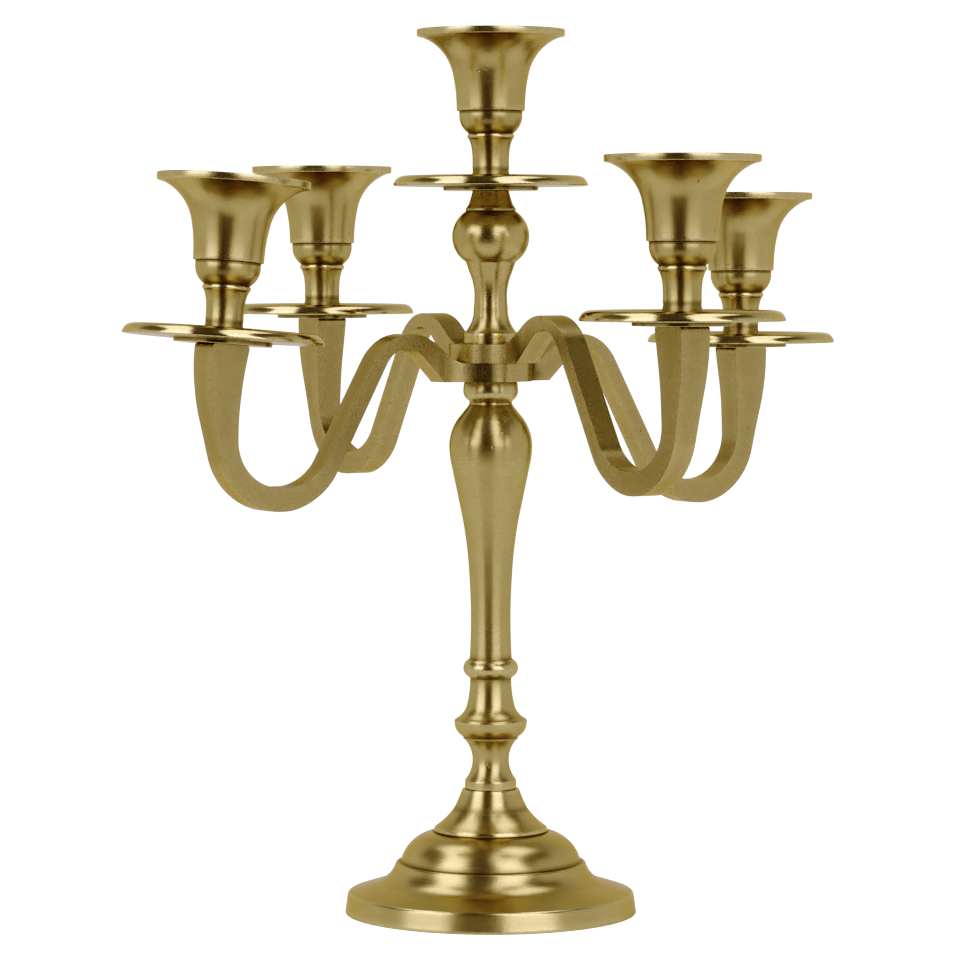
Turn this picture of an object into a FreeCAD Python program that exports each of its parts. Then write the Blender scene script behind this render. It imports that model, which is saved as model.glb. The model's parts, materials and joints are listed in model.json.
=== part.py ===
"""Five-light table candelabra, turned and cast in brass, assembled from screwed pieces.

The object stands on its foot at z = 0 with its axis on the Z axis. The lower arm pair lies along X and
the upper arm pair along Y. Every size is a named cell of the sheet, in millimetres or degrees. Every
piece is drawn in its own frame, from its own lower end upward, and then set on the piece below it.
"""
import FreeCAD, Part
import math
import os
import Sketcher

Y_AXIS = FreeCAD.Vector(0, 1, 0)
Z_AXIS = FreeCAD.Vector(0, 0, 1)

# Sizes shared by several pieces.
SIZES = {
    # Threaded rods and the holes that they pass through or screw into.
    "thread_play": 0.05,
    "stud_radius": 3.0,
    "stud_chamfer": 0.6,
    "stud_in_seat": 9.0,
    "stud_in_cup": 7.0,
    "hub_stud_radius": 4.0,
    "hub_stud_in_stem": 18.0,
    "hub_stud_in_column": 11.0,
    "bore_spare_depth": 1.0,
    # Bolt and washer that hold the foot on the stem from below.
    "bolt_radius": 4.0,
    "bolt_in_stem": 15.0,
    "bolt_head_radius": 7.5,
    "bolt_head_height": 5.3,
    "washer_radius": 8.2,
    "washer_thickness": 1.6,
    # Foot casting.
    "foot_wall": 3.0,
    "foot_top_wall": 5.0,
    # Arm pair: a flat bar bent up, over, down and up again on each side of its hub.
    "hub_radius": 16.5,
    "bar_thickness": 7.4,
    "arm_reach": 125.2,
    "arm_waist_width": 10.0,
    "arm_end_width": 13.6,
    "arm_end_depth": 16.4,
    "seat_rise": 16.1,
    "under_flat_margin": 8.5,
    "top_flat_margin": 3.0,
    "crest_under_reach": 45.1,
    "crest_under_rise": 20.1,
    "crest_under_round": 11.0,
    "crest_top_reach": 46.2,
    "crest_top_rise": 29.2,
    "crest_top_round": 20.0,
    "hub_rise_round": 6.0,
    "bend_outer_drop": 48.2,
    "bend_outer_start_inset": 42.2,
    "bend_outer_end_inset": 2.8,
    "bend_outer_round": 27.0,
    "bend_inner_drop": 38.8,
    "bend_inner_start_inset": 40.2,
    "bend_inner_end_inset": 5.8,
    "bend_inner_round": 18.5,
    "leg_swell_outer": 1.0,
    "leg_swell_inner": 4.0,
    "leg_swell_round": 30.0,
    "end_corner_round": 1.2,
    "taper_start_drop": 32.0,
    "taper_end_rise": 18.0,
    "waist_inset": 27.2,
    # Hand setting of two of the arms.
    "front_left_lean": 4.8,
    "front_left_bend_drop": 8.0,
    "back_right_sag": 4.0,
    # Inside of the candle cup.
    "candle_radius": 11.25,
    "socket_floor_height": 27.5,
    "socket_straight": 15.5,
    "socket_flare": 15.2,
    "cup_mouth_radius": 27.0,
}

# Turned outlines, from the lower end up: station, radius, rise above the station below, and the
# radius of the arc that leads on to the next (bulging positive, hollow negative, 0 straight).
FOOT = (
    ("edge_foot", 58.0, 0.0, 0.0),
    ("edge_top", 57.0, 7.4, 1.6),
    ("flange_edge", 55.8, 1.1, 0.0),
    ("flange_root", 45.2, 3.4, -12.0),
    ("flare_top", 37.9, 7.8, 0.0),
    ("flare_lip", 37.6, 0.4, 0.0),
    ("dome_foot", 35.9, 0.4, 15.5),
    ("dome_top", 23.4, 11.7, 0.0),
    ("groove", 22.3, 0.1, 0.0),
    ("lip_foot", 22.6, 0.5, 0.0),
    ("lip_top", 22.4, 1.2, 0.0),
    ("cone_foot", 21.7, 0.5, -30.0),
    ("cone_middle", 14.5, 7.3, -60.0),
    ("cone_top", 11.3, 7.6, 0.0),
)
STEM = (
    ("collar_foot", 10.3, 0.0, 0.0),
    ("collar_top", 10.3, 3.3, 0.0),
    ("cove_foot", 9.6, 1.0, -12.3),
    ("cove_top", 10.2, 15.1, 0.0),
    ("fillet_foot", 10.9, 0.5, 0.0),
    ("fillet_top", 11.0, 0.9, 6.2),
    ("flange_foot", 14.4, 5.4, 0.0),
    ("flange_top", 14.5, 1.0, 0.0),
    ("spool_foot", 14.0, 0.6, -8.5),
    ("spool_waist", 9.3, 6.2, -45.0),
    ("spool_top", 8.2, 10.0, 0.0),
    ("ring_foot", 8.8, 0.6, 3.9),
    ("ring_top", 8.9, 6.9, 0.0),
    ("shaft_foot", 8.4, 0.4, -260.0),
    ("shaft_middle", 8.6, 34.2, -165.0),
    ("vase_foot", 12.0, 25.4, 0.0),
    ("vase_flank", 15.3, 15.9, 40.0),
    ("vase_belly", 16.5, 8.8, 19.0),
    ("vase_shoulder", 12.3, 11.9, 0.0),
    ("neck", 8.6, 4.6, 0.0),
    ("neck_top", 8.5, 1.0, 0.0),
)
BEAD = (
    ("foot", 8.3, 0.0, 0.0),
    ("lower_edge", 8.9, 0.7, 4.6),
    ("widest", 10.9, 4.6, 12.0),
    ("upper_edge", 10.5, 2.6, 0.0),
    ("top", 10.1, 0.4, 0.0),
)
COLUMN = (
    ("collar_foot", 10.9, 0.0, 0.0),
    ("collar_top", 10.8, 4.2, 0.0),
    ("flare_foot", 10.4, 0.2, -13.0),
    ("flare_top", 6.8, 9.6, -40.0),
    ("waist", 6.5, 6.0, -24.0),
    ("ball_neck", 8.5, 8.3, 0.0),
    ("step_foot", 9.8, 3.8, 0.0),
    ("ball_foot", 10.3, 0.5, 11.95),
    ("ball_top", 10.2, 19.5, 0.0),
    ("bead_foot", 9.8, 0.2, 1.1),
    ("bead_top", 9.6, 1.5, 0.0),
    ("throat", 8.9, 0.9, -40.0),
    ("top", 7.2, 5.7, 0.0),
)
PAN = (
    ("boss_foot", 18.8, 0.0, 0.0),
    ("boss_top", 18.8, 1.4, 0.0),
    ("under_edge", 37.9, 0.4, 0.6),
    ("edge", 38.5, 0.5, 5.0),
    ("rim_shoulder", 36.9, 2.7, 5.0),
    ("rim_top", 33.8, 0.9, 0.0),
)
PAN_DISH = {"pan_dish_radius": 27.5, "pan_dish_depth": 1.7, "pan_dish_round": 16.0}
CUP = (
    ("foot", 8.4, 0.0, 0.0),
    ("foot_top", 8.2, 0.9, -4.5),
    ("neck_foot", 7.3, 4.0, -40.0),
    ("neck_top", 7.5, 6.8, -14.0),
    ("bead_foot", 8.6, 4.2, 0.0),
    ("bead_lower", 9.0, 0.5, 1.2),
    ("bead_upper", 9.0, 1.6, 0.0),
    ("bulb_foot", 8.8, 0.3, 8.6),
    ("bulb_top", 12.5, 7.7, 0.0),
    ("step_foot", 12.5, 1.0, 0.0),
    ("step_top", 13.5, 0.3, 0.0),
    ("bell_foot", 13.6, 3.2, -60.0),
    ("bell_middle", 14.9, 10.6, -19.5),
    ("bell_flare", 26.9, 14.9, 0.0),
    ("rim_foot", 29.2, 0.5, 0.0),
    ("rim_top", 29.3, 2.7, 0.0),
)
OUTLINES = {"foot": FOOT, "stem": STEM, "bead": BEAD, "column": COLUMN, "pan": PAN, "cup": CUP}
LIGHTS = ("center", "front_left", "front_right", "back_left", "back_right")


class Size:
    """A size as it stands and as the sheet expression that drives it."""

    def __init__(self, value, text):
        self.value = value
        self.text = text

    def __add__(self, other):
        other = as_size(other)
        return Size(self.value + other.value, f"({self.text} + {other.text})")

    def __sub__(self, other):
        other = as_size(other)
        return Size(self.value - other.value, f"({self.text} - {other.text})")

    def __mul__(self, other):
        other = as_size(other)
        return Size(self.value * other.value, f"{self.text} * {other.text}")

    def __truediv__(self, other):
        other = as_size(other)
        return Size(self.value / other.value, f"{self.text} / {other.text}")

    def __neg__(self):
        return Size(-self.value, f"(0 - {self.text})")


ZERO = Size(0.0, "0")


def as_size(number):
    """A plain number as a size with no cell behind it."""
    return number if isinstance(number, Size) else Size(float(number), repr(float(number)))


def sine(angle):
    """Sine of an angle in degrees."""
    return Size(math.sin(math.radians(angle.value)), f"sin({angle.text} * 1 deg)")


def cosine(angle):
    """Cosine of an angle in degrees."""
    return Size(math.cos(math.radians(angle.value)), f"cos({angle.text} * 1 deg)")


def total(sizes):
    """Sum of several sizes."""
    result = ZERO
    for size in sizes:
        result = result + size
    return result


document = FreeCAD.newDocument("Candelabra")
sheet = document.addObject("Spreadsheet::Sheet", "Sizes")
named = {}


def write_sheet():
    """Put every named size in its own row of the sheet, with the name as the cell's alias."""
    cells = dict(SIZES)
    cells.update(PAN_DISH)
    for piece, outline in OUTLINES.items():
        for station, radius, rise, arc in outline:
            cells[f"{piece}_{station}_radius"] = radius
            cells[f"{piece}_{station}_rise"] = rise
            if arc:
                cells[f"{piece}_{station}_arc"] = arc
    for row, (name, value) in enumerate(cells.items(), start=1):
        sheet.set(f"A{row}", name)
        sheet.set(f"B{row}", str(value))
        sheet.setAlias(f"B{row}", name)
        named[name] = Size(float(value), f"Sizes.{name}")
    document.recompute()


write_sheet()


class Corner:
    """A point of an outline, with the arc to the next point or the round that replaces the corner."""

    def __init__(self, across, up, arc=None, rounding=None):
        self.across = across
        self.up = up
        self.arc = arc
        self.rounding = rounding

    @property
    def point(self):
        return FreeCAD.Vector(self.across.value, self.up.value, 0)


def outline_height(piece):
    """Height of a turned piece, from its lowest to its highest station."""
    return total(named[f"{piece}_{station[0]}_rise"] for station in OUTLINES[piece])


def station_height(piece, name):
    """Height of one station above the lower end of its piece."""
    heights = []
    for station in OUTLINES[piece]:
        heights.append(named[f"{piece}_{station[0]}_rise"])
        if station[0] == name:
            break
    return total(heights)


def turned_corners(piece):
    """Outer corners of a turned piece, from its lower end up."""
    corners = []
    height = ZERO
    for station, _, _, arc in OUTLINES[piece]:
        height = height + named[f"{piece}_{station}_rise"]
        bulge = named[f"{piece}_{station}_arc"] if arc else None
        corners.append(Corner(named[f"{piece}_{station}_radius"], height, arc=bulge))
    return corners


def bind(sketch, index, size):
    """Drive one constraint of a sketch from the sheet."""
    if "Sizes." in size.text:
        sketch.setExpression(f"Constraints[{index}]", size.text)


def fix_point(sketch, geometry, end, corner):
    """Hold one end of a sketch line, or a lone point, at the place of a corner."""
    for kind, size, axis in (("DistanceX", corner.across, -2), ("DistanceY", corner.up, -1)):
        if size is ZERO:
            sketch.addConstraint(Sketcher.Constraint("PointOnObject", geometry, end, axis))
        else:
            index = sketch.addConstraint(Sketcher.Constraint(kind, geometry, end, size.value))
            bind(sketch, index, size)


def arc_between(start, end, bulge):
    """Arc from start to end, bulging right if positive, and whether it runs counter-clockwise."""
    chord = end - start
    radius = abs(bulge)
    reach = math.sqrt(radius ** 2 - chord.Length ** 2 / 4)
    left = FreeCAD.Vector(-chord.y, chord.x, 0).normalize()
    side = 1 if bulge > 0 else -1
    center = (start + end) * 0.5 + left * (reach * side)
    circle = Part.Circle(center, Z_AXIS, radius)
    first, last = (start, end) if side > 0 else (end, start)
    arc = Part.ArcOfCircle(circle, circle.parameter(first), circle.parameter(last))
    return arc, side > 0


def corner_round(before, corner, after, radius):
    """The two points where a round leaves the sides of a corner."""
    back = (before - corner).normalize()
    ahead = (after - corner).normalize()
    half_angle = back.getAngle(ahead) / 2
    setback = radius / math.tan(half_angle)
    return corner + back * setback, corner + ahead * setback


def draw_outline(sketch, corners):
    """Draw a closed outline of straight sides, arcs and rounded corners, and bind each size of it."""
    count = len(corners)
    starts = [corner.point for corner in corners]
    ends = [corner.point for corner in corners]
    for i, corner in enumerate(corners):
        if corner.rounding:
            before = corners[i - 1].point
            after = corners[(i + 1) % count].point
            ends[i], starts[i] = corner_round(before, corner.point, after, corner.rounding.value)
    sides = []
    for i, corner in enumerate(corners):
        start, end = starts[i], ends[(i + 1) % count]
        if corner.arc:
            arc, forward = arc_between(start, end, corner.arc.value)
            index = sketch.addGeometry(arc, False)
            sides.append((index, 1, 2) if forward else (index, 2, 1))
            radius = corner.arc if corner.arc.value > 0 else -corner.arc
            limit = Sketcher.Constraint("Radius", index, radius.value)
            bind(sketch, sketch.addConstraint(limit), radius)
        else:
            index = sketch.addGeometry(Part.LineSegment(start, end), False)
            sides.append((index, 1, 2))
    for i, corner in enumerate(corners):
        before, start = sides[i - 1], sides[i]
        if not corner.rounding:
            joined = Sketcher.Constraint("Coincident", before[0], before[2], start[0], start[1])
            sketch.addConstraint(joined)
            fix_point(sketch, start[0], start[1], corner)
            continue
        turn = (ends[i] - corners[i - 1].point).cross(starts[i] - ends[i]).z
        arc, forward = arc_between(ends[i], starts[i], math.copysign(corner.rounding.value, turn))
        index = sketch.addGeometry(arc, False)
        first, last = (1, 2) if forward else (2, 1)
        mark = sketch.addGeometry(Part.Point(corner.point), True)
        fix_point(sketch, mark, 1, corner)
        sketch.addConstraint(Sketcher.Constraint("PointOnObject", mark, 1, before[0]))
        sketch.addConstraint(Sketcher.Constraint("PointOnObject", mark, 1, start[0]))
        sketch.addConstraint(Sketcher.Constraint("Tangent", before[0], before[2], index, first))
        sketch.addConstraint(Sketcher.Constraint("Tangent", index, last, start[0], start[1]))
        limit = sketch.addConstraint(Sketcher.Constraint("Radius", index, corner.rounding.value))
        bind(sketch, limit, corner.rounding)


def new_body(label):
    """A body whose label names its piece."""
    body = document.addObject("PartDesign::Body", label)
    body.Label = label
    return body


def sketch_on(body, role, name):
    """A sketch on one of the body's own origin planes."""
    plane = next(feature for feature in body.Origin.OriginFeatures if feature.Role == role)
    sketch = body.newObject("Sketcher::SketchObject", f"{body.Label}_{name}")
    sketch.AttachmentSupport = [(plane, "")]
    sketch.MapMode = "FlatFace"
    return sketch


def place(body, across=ZERO, along=ZERO, up=ZERO, turn=None):
    """Set a body in the candelabra; its place follows the sheet."""
    rotation = turn or FreeCAD.Rotation()
    base = FreeCAD.Vector(across.value, along.value, up.value)
    body.Placement = FreeCAD.Placement(base, rotation)
    for axis, size in (("x", across), ("y", along), ("z", up)):
        if "Sizes." in size.text:
            body.setExpression(f"Placement.Base.{axis}", size.text)


def revolve(body, corners):
    """Turn an outline, drawn as radius across and height up, about the body's Z axis."""
    sketch = sketch_on(body, "XZ_Plane", "outline")
    draw_outline(sketch, corners)
    turning = body.newObject("PartDesign::Revolution", f"{body.Label}_turning")
    turning.Profile = sketch
    turning.ReferenceAxis = (sketch, ["V_Axis"])
    turning.Angle = 360
    sketch.Visibility = False
    return body


def rod_corners(radius, low, high):
    """Outline of a rod on the axis, with chamfered ends."""
    chamfer = named["stud_chamfer"]
    return [
        Corner(ZERO, low),
        Corner(radius - chamfer, low),
        Corner(radius, low + chamfer),
        Corner(radius, high - chamfer),
        Corner(radius - chamfer, high),
        Corner(ZERO, high),
    ]


def hole(radius):
    """Radius of the hole for a threaded rod."""
    return radius + named["thread_play"]


def bored_corners(piece, lower_bore, upper_bore):
    """Outline of a solid turned piece with a blind bore, given as (radius, depth), at each end."""
    height = outline_height(piece)
    lower_radius, lower_depth = lower_bore
    upper_radius, upper_depth = upper_bore
    return turned_corners(piece) + [
        Corner(upper_radius, height),
        Corner(upper_radius, height - upper_depth),
        Corner(ZERO, height - upper_depth),
        Corner(ZERO, lower_depth),
        Corner(lower_radius, lower_depth),
        Corner(lower_radius, ZERO),
    ]


# Levels up the axis, each from the pieces below it.
foot_top = outline_height("foot")
stem_top = foot_top + outline_height("stem")
lower_bar_foot = stem_top + outline_height("bead")
upper_bar_foot = lower_bar_foot + named["bar_thickness"]
column_foot = upper_bar_foot + named["bar_thickness"]
column_top = column_foot + outline_height("column")
pan_floor = outline_height("pan") - named["pan_dish_depth"]
spare = named["bore_spare_depth"]


def make_foot():
    """Hollow foot: a rimmed flare, a dome and a cone, with a flat top wall for the bolt."""
    wall = named["foot_wall"]
    ceiling = foot_top - named["foot_top_wall"]
    bolt_hole = hole(named["bolt_radius"])

    def inside(station, inset, drop):
        """A corner of the hollow, set in and down from a station of the outer outline."""
        radius = named[f"foot_{station}_radius"] - wall * inset
        return Corner(radius, station_height("foot", station) - wall * drop)

    cone_foot = station_height("foot", "cone_foot")
    corners = turned_corners("foot")
    corners += [
        Corner(bolt_hole, foot_top),
        Corner(bolt_hole, ceiling),
        Corner(named["washer_radius"] + wall / 2, ceiling),
        Corner(named["foot_cone_middle_radius"] - wall * 0.6, cone_foot + wall / 2),
        inside("cone_foot", 1, 1.2),
        inside("dome_foot", 2, -1.4),
        inside("dome_foot", 1, 1),
        inside("flange_root", 1, 0.8),
        inside("flange_edge", 0.8, 1),
        Corner(named["foot_edge_foot_radius"] - wall, ZERO),
    ]
    revolve(new_body("base_foot"), corners)


def make_base_fixings():
    """Washer and hexagon bolt under the top wall of the foot, screwed up into the stem."""
    thickness = named["washer_thickness"]
    seat = foot_top - named["foot_top_wall"]
    inner = hole(named["bolt_radius"])
    outer = named["washer_radius"]
    corners = [
        Corner(inner, ZERO),
        Corner(outer, ZERO),
        Corner(outer, thickness),
        Corner(inner, thickness),
    ]
    place(revolve(new_body("base_washer"), corners), up=seat - thickness)

    bolt = new_body("base_bolt")
    reach = thickness + named["foot_top_wall"] + named["bolt_in_stem"]
    revolve(bolt, rod_corners(named["bolt_radius"], ZERO, reach))
    head = bolt.newObject("PartDesign::AdditivePrism", "base_bolt_head")
    head.Polygon = 6
    head.setExpression("Circumradius", named["bolt_head_radius"].text)
    head.setExpression("Height", named["bolt_head_height"].text)
    head.Placement = FreeCAD.Placement(-Z_AXIS * SIZES["bolt_head_height"], FreeCAD.Rotation())
    head.setExpression("Placement.Base.z", (-named["bolt_head_height"]).text)
    place(bolt, up=seat - thickness)


def make_stem():
    """Turned stem, bored at both ends for the foot bolt and for the hub stud."""
    lower = (hole(named["bolt_radius"]), named["bolt_in_stem"] + spare)
    upper = (hole(named["hub_stud_radius"]), named["hub_stud_in_stem"] + spare)
    place(revolve(new_body("stem"), bored_corners("stem", lower, upper)), up=foot_top)


def make_bead():
    """Turned ring between the stem and the lower arm pair."""
    bore = hole(named["hub_stud_radius"])
    corners = turned_corners("bead")
    corners += [Corner(bore, outline_height("bead")), Corner(bore, ZERO)]
    place(revolve(new_body("hub_bead"), corners), up=stem_top)


def make_hub_stud():
    """Rod that holds the stem, the bead, both arm pairs and the column together."""
    reach = outline_height("bead") + named["bar_thickness"] * 2
    corners = rod_corners(
        named["hub_stud_radius"],
        -named["hub_stud_in_stem"],
        reach + named["hub_stud_in_column"],
    )
    place(revolve(new_body("hub_stud"), corners), up=stem_top)


def make_column():
    """Turned column with a ball, between the upper arm pair and the central pan."""
    lower = (hole(named["hub_stud_radius"]), named["hub_stud_in_column"] + spare)
    upper = (hole(named["stud_radius"]), named["stud_in_seat"] + spare)
    place(revolve(new_body("center_column"), bored_corners("column", lower, upper)), up=column_foot)


class ArmSetting:
    """How one arm was set by hand: how far its seat sags, and how far its end leans inward."""

    def __init__(self, sag=ZERO, lean=None):
        self.sag = sag
        self.lean = lean

    def drop(self, reach):
        """Sag at a distance from the axis, from nothing at the hub to all of it at the seat."""
        if self.sag is ZERO:
            return ZERO
        span = named["arm_reach"] - named["hub_radius"]
        return self.sag * (reach - named["hub_radius"]) / span

    def lean_point(self, reach, rise):
        """A point of the arm's end after the end has leaned inward about the middle of its leg."""
        if self.lean is None:
            return reach, rise - self.sag
        pivot_rise = -named["front_left_bend_drop"]
        across = reach - named["arm_reach"]
        up = rise - pivot_rise
        turned_across = across * cosine(self.lean) - up * sine(self.lean)
        turned_up = across * sine(self.lean) + up * cosine(self.lean)
        return named["arm_reach"] + turned_across, pivot_rise + turned_up - self.sag

    def seat(self):
        """Middle of the flat seat at the top of the arm's end, as reach and rise."""
        return self.lean_point(named["arm_reach"], named["seat_rise"])


PLAIN = ArmSetting()
FRONT_LEFT = ArmSetting(lean=named["front_left_lean"])
BACK_RIGHT = ArmSetting(sag=named["back_right_sag"])


def arm_corners(setting):
    """Side view of one arm, from the underside of the hub round its end to the top of the hub."""
    reach = named["arm_reach"]
    end_half = named["arm_end_depth"] / 2
    outer_start = reach - named["bend_outer_start_inset"]
    outer_end = reach - named["bend_outer_end_inset"]
    inner_start = reach - named["bend_inner_start_inset"]
    inner_end = reach - named["bend_inner_end_inset"]

    def corner(across, rise, rounding=None):
        return Corner(across, rise - setting.drop(across), rounding=rounding)

    seat_outer = setting.lean_point(reach + end_half, named["seat_rise"])
    seat_inner = setting.lean_point(reach - end_half, named["seat_rise"])
    return [
        Corner(named["hub_radius"] + named["under_flat_margin"], ZERO),
        corner(named["crest_under_reach"], named["crest_under_rise"], named["crest_under_round"]),
        corner(outer_start, -named["bend_outer_drop"], named["bend_outer_round"]),
        corner(outer_end, -named["bend_outer_drop"], named["bend_outer_round"]),
        corner(reach + end_half, named["leg_swell_outer"], named["leg_swell_round"]),
        Corner(*seat_outer, rounding=named["end_corner_round"]),
        Corner(*seat_inner, rounding=named["end_corner_round"]),
        corner(inner_end, -named["leg_swell_inner"], named["leg_swell_round"]),
        corner(inner_end, -named["bend_inner_drop"], named["bend_inner_round"]),
        corner(inner_start, -named["bend_inner_drop"], named["bend_inner_round"]),
        corner(named["crest_top_reach"], named["crest_top_rise"], named["crest_top_round"]),
        Corner(
            named["hub_radius"] + named["top_flat_margin"],
            named["bar_thickness"],
            rounding=named["hub_rise_round"],
        ),
    ]


def mirrored(corners):
    """The same corners on the other side of the axis, in the order that carries the outline on."""
    return [
        Corner(-corner.across, corner.up, rounding=corner.rounding)
        for corner in reversed(corners)
    ]


def pocket_through(body, sketch, name):
    """Cut a sketch right through a body, both ways."""
    pocket = body.newObject("PartDesign::Pocket", f"{body.Label}_{name}")
    pocket.Profile = sketch
    pocket.Type = "ThroughAll"
    pocket.Midplane = True
    sketch.Visibility = False


def closed_sides(sketch, outlines):
    """Draw several closed outlines in one sketch."""
    for corners in outlines:
        draw_outline(sketch, corners)


def make_arm_pair(label, plus_setting, minus_setting, foot, turn):
    """Arm pair: the bent bar with its waists, hub boss, hub bore and two threaded seats."""
    body = new_body(label)
    waist_half = named["arm_waist_width"] / 2
    end_half = named["arm_end_width"] / 2

    side = sketch_on(body, "XZ_Plane", "side_view")
    draw_outline(side, arm_corners(plus_setting) + mirrored(arm_corners(minus_setting)))
    bar = body.newObject("PartDesign::Pad", f"{label}_bar")
    bar.Profile = side
    bar.Midplane = True
    bar.setExpression("Length", named["arm_end_width"].text)

    beyond = end_half + 1
    reach = named["arm_reach"] - named["waist_inset"]
    plan = sketch_on(body, "XY_Plane", "waist")
    slab = [(reach, waist_half), (reach, beyond), (-reach, beyond), (-reach, waist_half)]
    near = [Corner(across, up) for across, up in slab]
    far = [Corner(across, -up) for across, up in reversed(slab)]
    closed_sides(plan, (near, far))
    pocket_through(body, plan, "waist_cut")

    low = -named["bend_outer_drop"] - named["back_right_sag"] - 1
    front = sketch_on(body, "YZ_Plane", "taper")
    wedge = [
        (waist_half, low),
        (beyond, low),
        (beyond, named["taper_end_rise"]),
        (end_half, named["taper_end_rise"]),
        (waist_half, -named["taper_start_drop"]),
    ]
    right = [Corner(across, up) for across, up in wedge]
    left = [Corner(-across, up) for across, up in reversed(wedge)]
    closed_sides(front, (right, left))
    pocket_through(body, front, "taper_cut")

    hub = sketch_on(body, "XY_Plane", "hub")
    radius = named["hub_radius"]
    boss = hub.addGeometry(Part.Circle(FreeCAD.Vector(), Z_AXIS, radius.value), False)
    hub.addConstraint(Sketcher.Constraint("Coincident", boss, 3, -1, 1))
    limit = hub.addConstraint(Sketcher.Constraint("Radius", boss, radius.value))
    bind(hub, limit, radius)
    hub_pad = body.newObject("PartDesign::Pad", f"{label}_hub")
    hub_pad.Profile = hub
    hub_pad.setExpression("Length", named["bar_thickness"].text)

    thickness = named["bar_thickness"]
    drill(body, "hub_bore", hole(named["hub_stud_radius"]), thickness + spare, up=thickness)
    seat_bore, depth = hole(named["stud_radius"]), named["stud_in_seat"] + spare
    across, up = plus_setting.seat()
    drill(body, "plus_seat_bore", seat_bore, depth, across, up)
    across, up = minus_setting.seat()
    drill(body, "minus_seat_bore", seat_bore, depth, -across, up, minus_setting.lean)
    place(body, up=foot, turn=FreeCAD.Rotation(Z_AXIS, turn))


def drill(body, name, radius, depth, across=ZERO, up=ZERO, lean=None):
    """Bore down into a body from a point of its XZ plane, square to a seat with that lean."""
    bore = body.newObject("PartDesign::SubtractiveCylinder", f"{body.Label}_{name}")
    bore.setExpression("Radius", radius.text)
    bore.setExpression("Height", (depth + spare).text)
    rotation = FreeCAD.Rotation()
    if lean is not None:
        rotation = FreeCAD.Rotation(Y_AXIS, lean.value)
        across = across - depth * sine(lean)
        depth = depth * cosine(lean)
    up = up - depth
    bore.Placement = FreeCAD.Placement(FreeCAD.Vector(across.value, 0, up.value), rotation)
    bore.setExpression("Placement.Base.x", across.text)
    bore.setExpression("Placement.Base.z", up.text)
    if lean is not None:
        bore.setExpression("Placement.Rotation.Angle", lean.text)


def light_place(light):
    """Where the seat of one light is: across, along, height and lean."""
    if light == "center":
        return ZERO, ZERO, column_top, None
    setting, axis, sign, foot = {
        "back_right": (BACK_RIGHT, "across", 1, lower_bar_foot),
        "front_left": (FRONT_LEFT, "across", -1, lower_bar_foot),
        "back_left": (PLAIN, "along", 1, upper_bar_foot),
        "front_right": (PLAIN, "along", -1, upper_bar_foot),
    }[light]
    reach, rise = setting.seat()
    reach = reach * sign
    across, along = (reach, ZERO) if axis == "across" else (ZERO, reach)
    return across, along, foot + rise, setting.lean


def place_on_seat(body, light, lift):
    """Set a piece on the seat of a light, lifted along the seat's own axis."""
    across, along, up, lean = light_place(light)
    if lean is None:
        place(body, across, along, up + lift)
        return
    place(
        body,
        across + lift * sine(lean),
        along,
        up + lift * cosine(lean),
        FreeCAD.Rotation(Y_AXIS, lean.value),
    )
    body.setExpression("Placement.Rotation.Angle", lean.text)


def make_pan(light):
    """Drip pan: a shallow dish with a rounded rim and a flat boss below."""
    bore = hole(named["stud_radius"])
    corners = turned_corners("pan")
    corners[-1].arc = named["pan_dish_round"]
    corners += [
        Corner(named["pan_dish_radius"], pan_floor),
        Corner(bore, pan_floor),
        Corner(bore, ZERO),
    ]
    place_on_seat(revolve(new_body(f"drip_pan_{light}"), corners), light, ZERO)


def make_cup(light):
    """Candle cup: neck, bead, bulb and a flared bell around the candle socket."""
    floor = named["socket_floor_height"]
    bore = hole(named["stud_radius"])
    depth = named["stud_in_cup"] + spare
    corners = turned_corners("cup")
    corners += [
        Corner(named["cup_mouth_radius"], outline_height("cup"), arc=named["socket_flare"]),
        Corner(named["candle_radius"], floor + named["socket_straight"]),
        Corner(named["candle_radius"], floor),
        Corner(ZERO, floor),
        Corner(ZERO, depth),
        Corner(bore, depth),
        Corner(bore, ZERO),
    ]
    place_on_seat(revolve(new_body(f"candle_cup_{light}"), corners), light, pan_floor)


def make_cup_stud(light):
    """Threaded rod from the seat, through the pan, into the cup."""
    top = pan_floor + named["stud_in_cup"]
    corners = rod_corners(named["stud_radius"], -named["stud_in_seat"], top)
    place_on_seat(revolve(new_body(f"cup_stud_{light}"), corners), light, ZERO)


def check(pieces):
    """Stop unless every object of the document and every piece's shape is sound."""
    for item in document.Objects:
        if {"Invalid", "Error"} & set(item.State):
            raise RuntimeError(f"{item.Label} failed: {item.State}")
    for piece in pieces:
        shape = piece.Shape
        if shape.isNull() or not shape.isValid() or len(shape.Solids) != 1:
            raise RuntimeError(f"{piece.Label} is not one sound solid")


make_foot()
make_base_fixings()
make_stem()
make_bead()
make_hub_stud()
make_arm_pair("lower_arm_pair", BACK_RIGHT, FRONT_LEFT, lower_bar_foot, 0)
make_arm_pair("upper_arm_pair", PLAIN, PLAIN, upper_bar_foot, 90)
make_column()
for light in LIGHTS:
    make_pan(light)
    make_cup(light)
    make_cup_stud(light)
document.recompute()

pieces = [item for item in document.Objects if item.isDerivedFrom("PartDesign::Body")]
check(pieces)
os.makedirs("parts", exist_ok=True)
for piece in pieces:
    piece.Shape.exportStep(f"parts/{piece.Label}.step")
    print(piece.Label, round(piece.Shape.Volume, 1))
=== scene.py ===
"""Looks of the five-light brass candelabra.

Every piece is drawn in millimetres in its own frame, from its own lower end upward, set on its
seat, and brought to metres. Turned pieces are spun from an outline, and the arm pairs are cut and
filed from a slab.
"""
from __future__ import annotations

import json
import logging
import math
from collections.abc import Iterable
from dataclasses import dataclass, field
from enum import Enum

import bmesh
import bpy
from mathutils import Matrix, Vector

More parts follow.
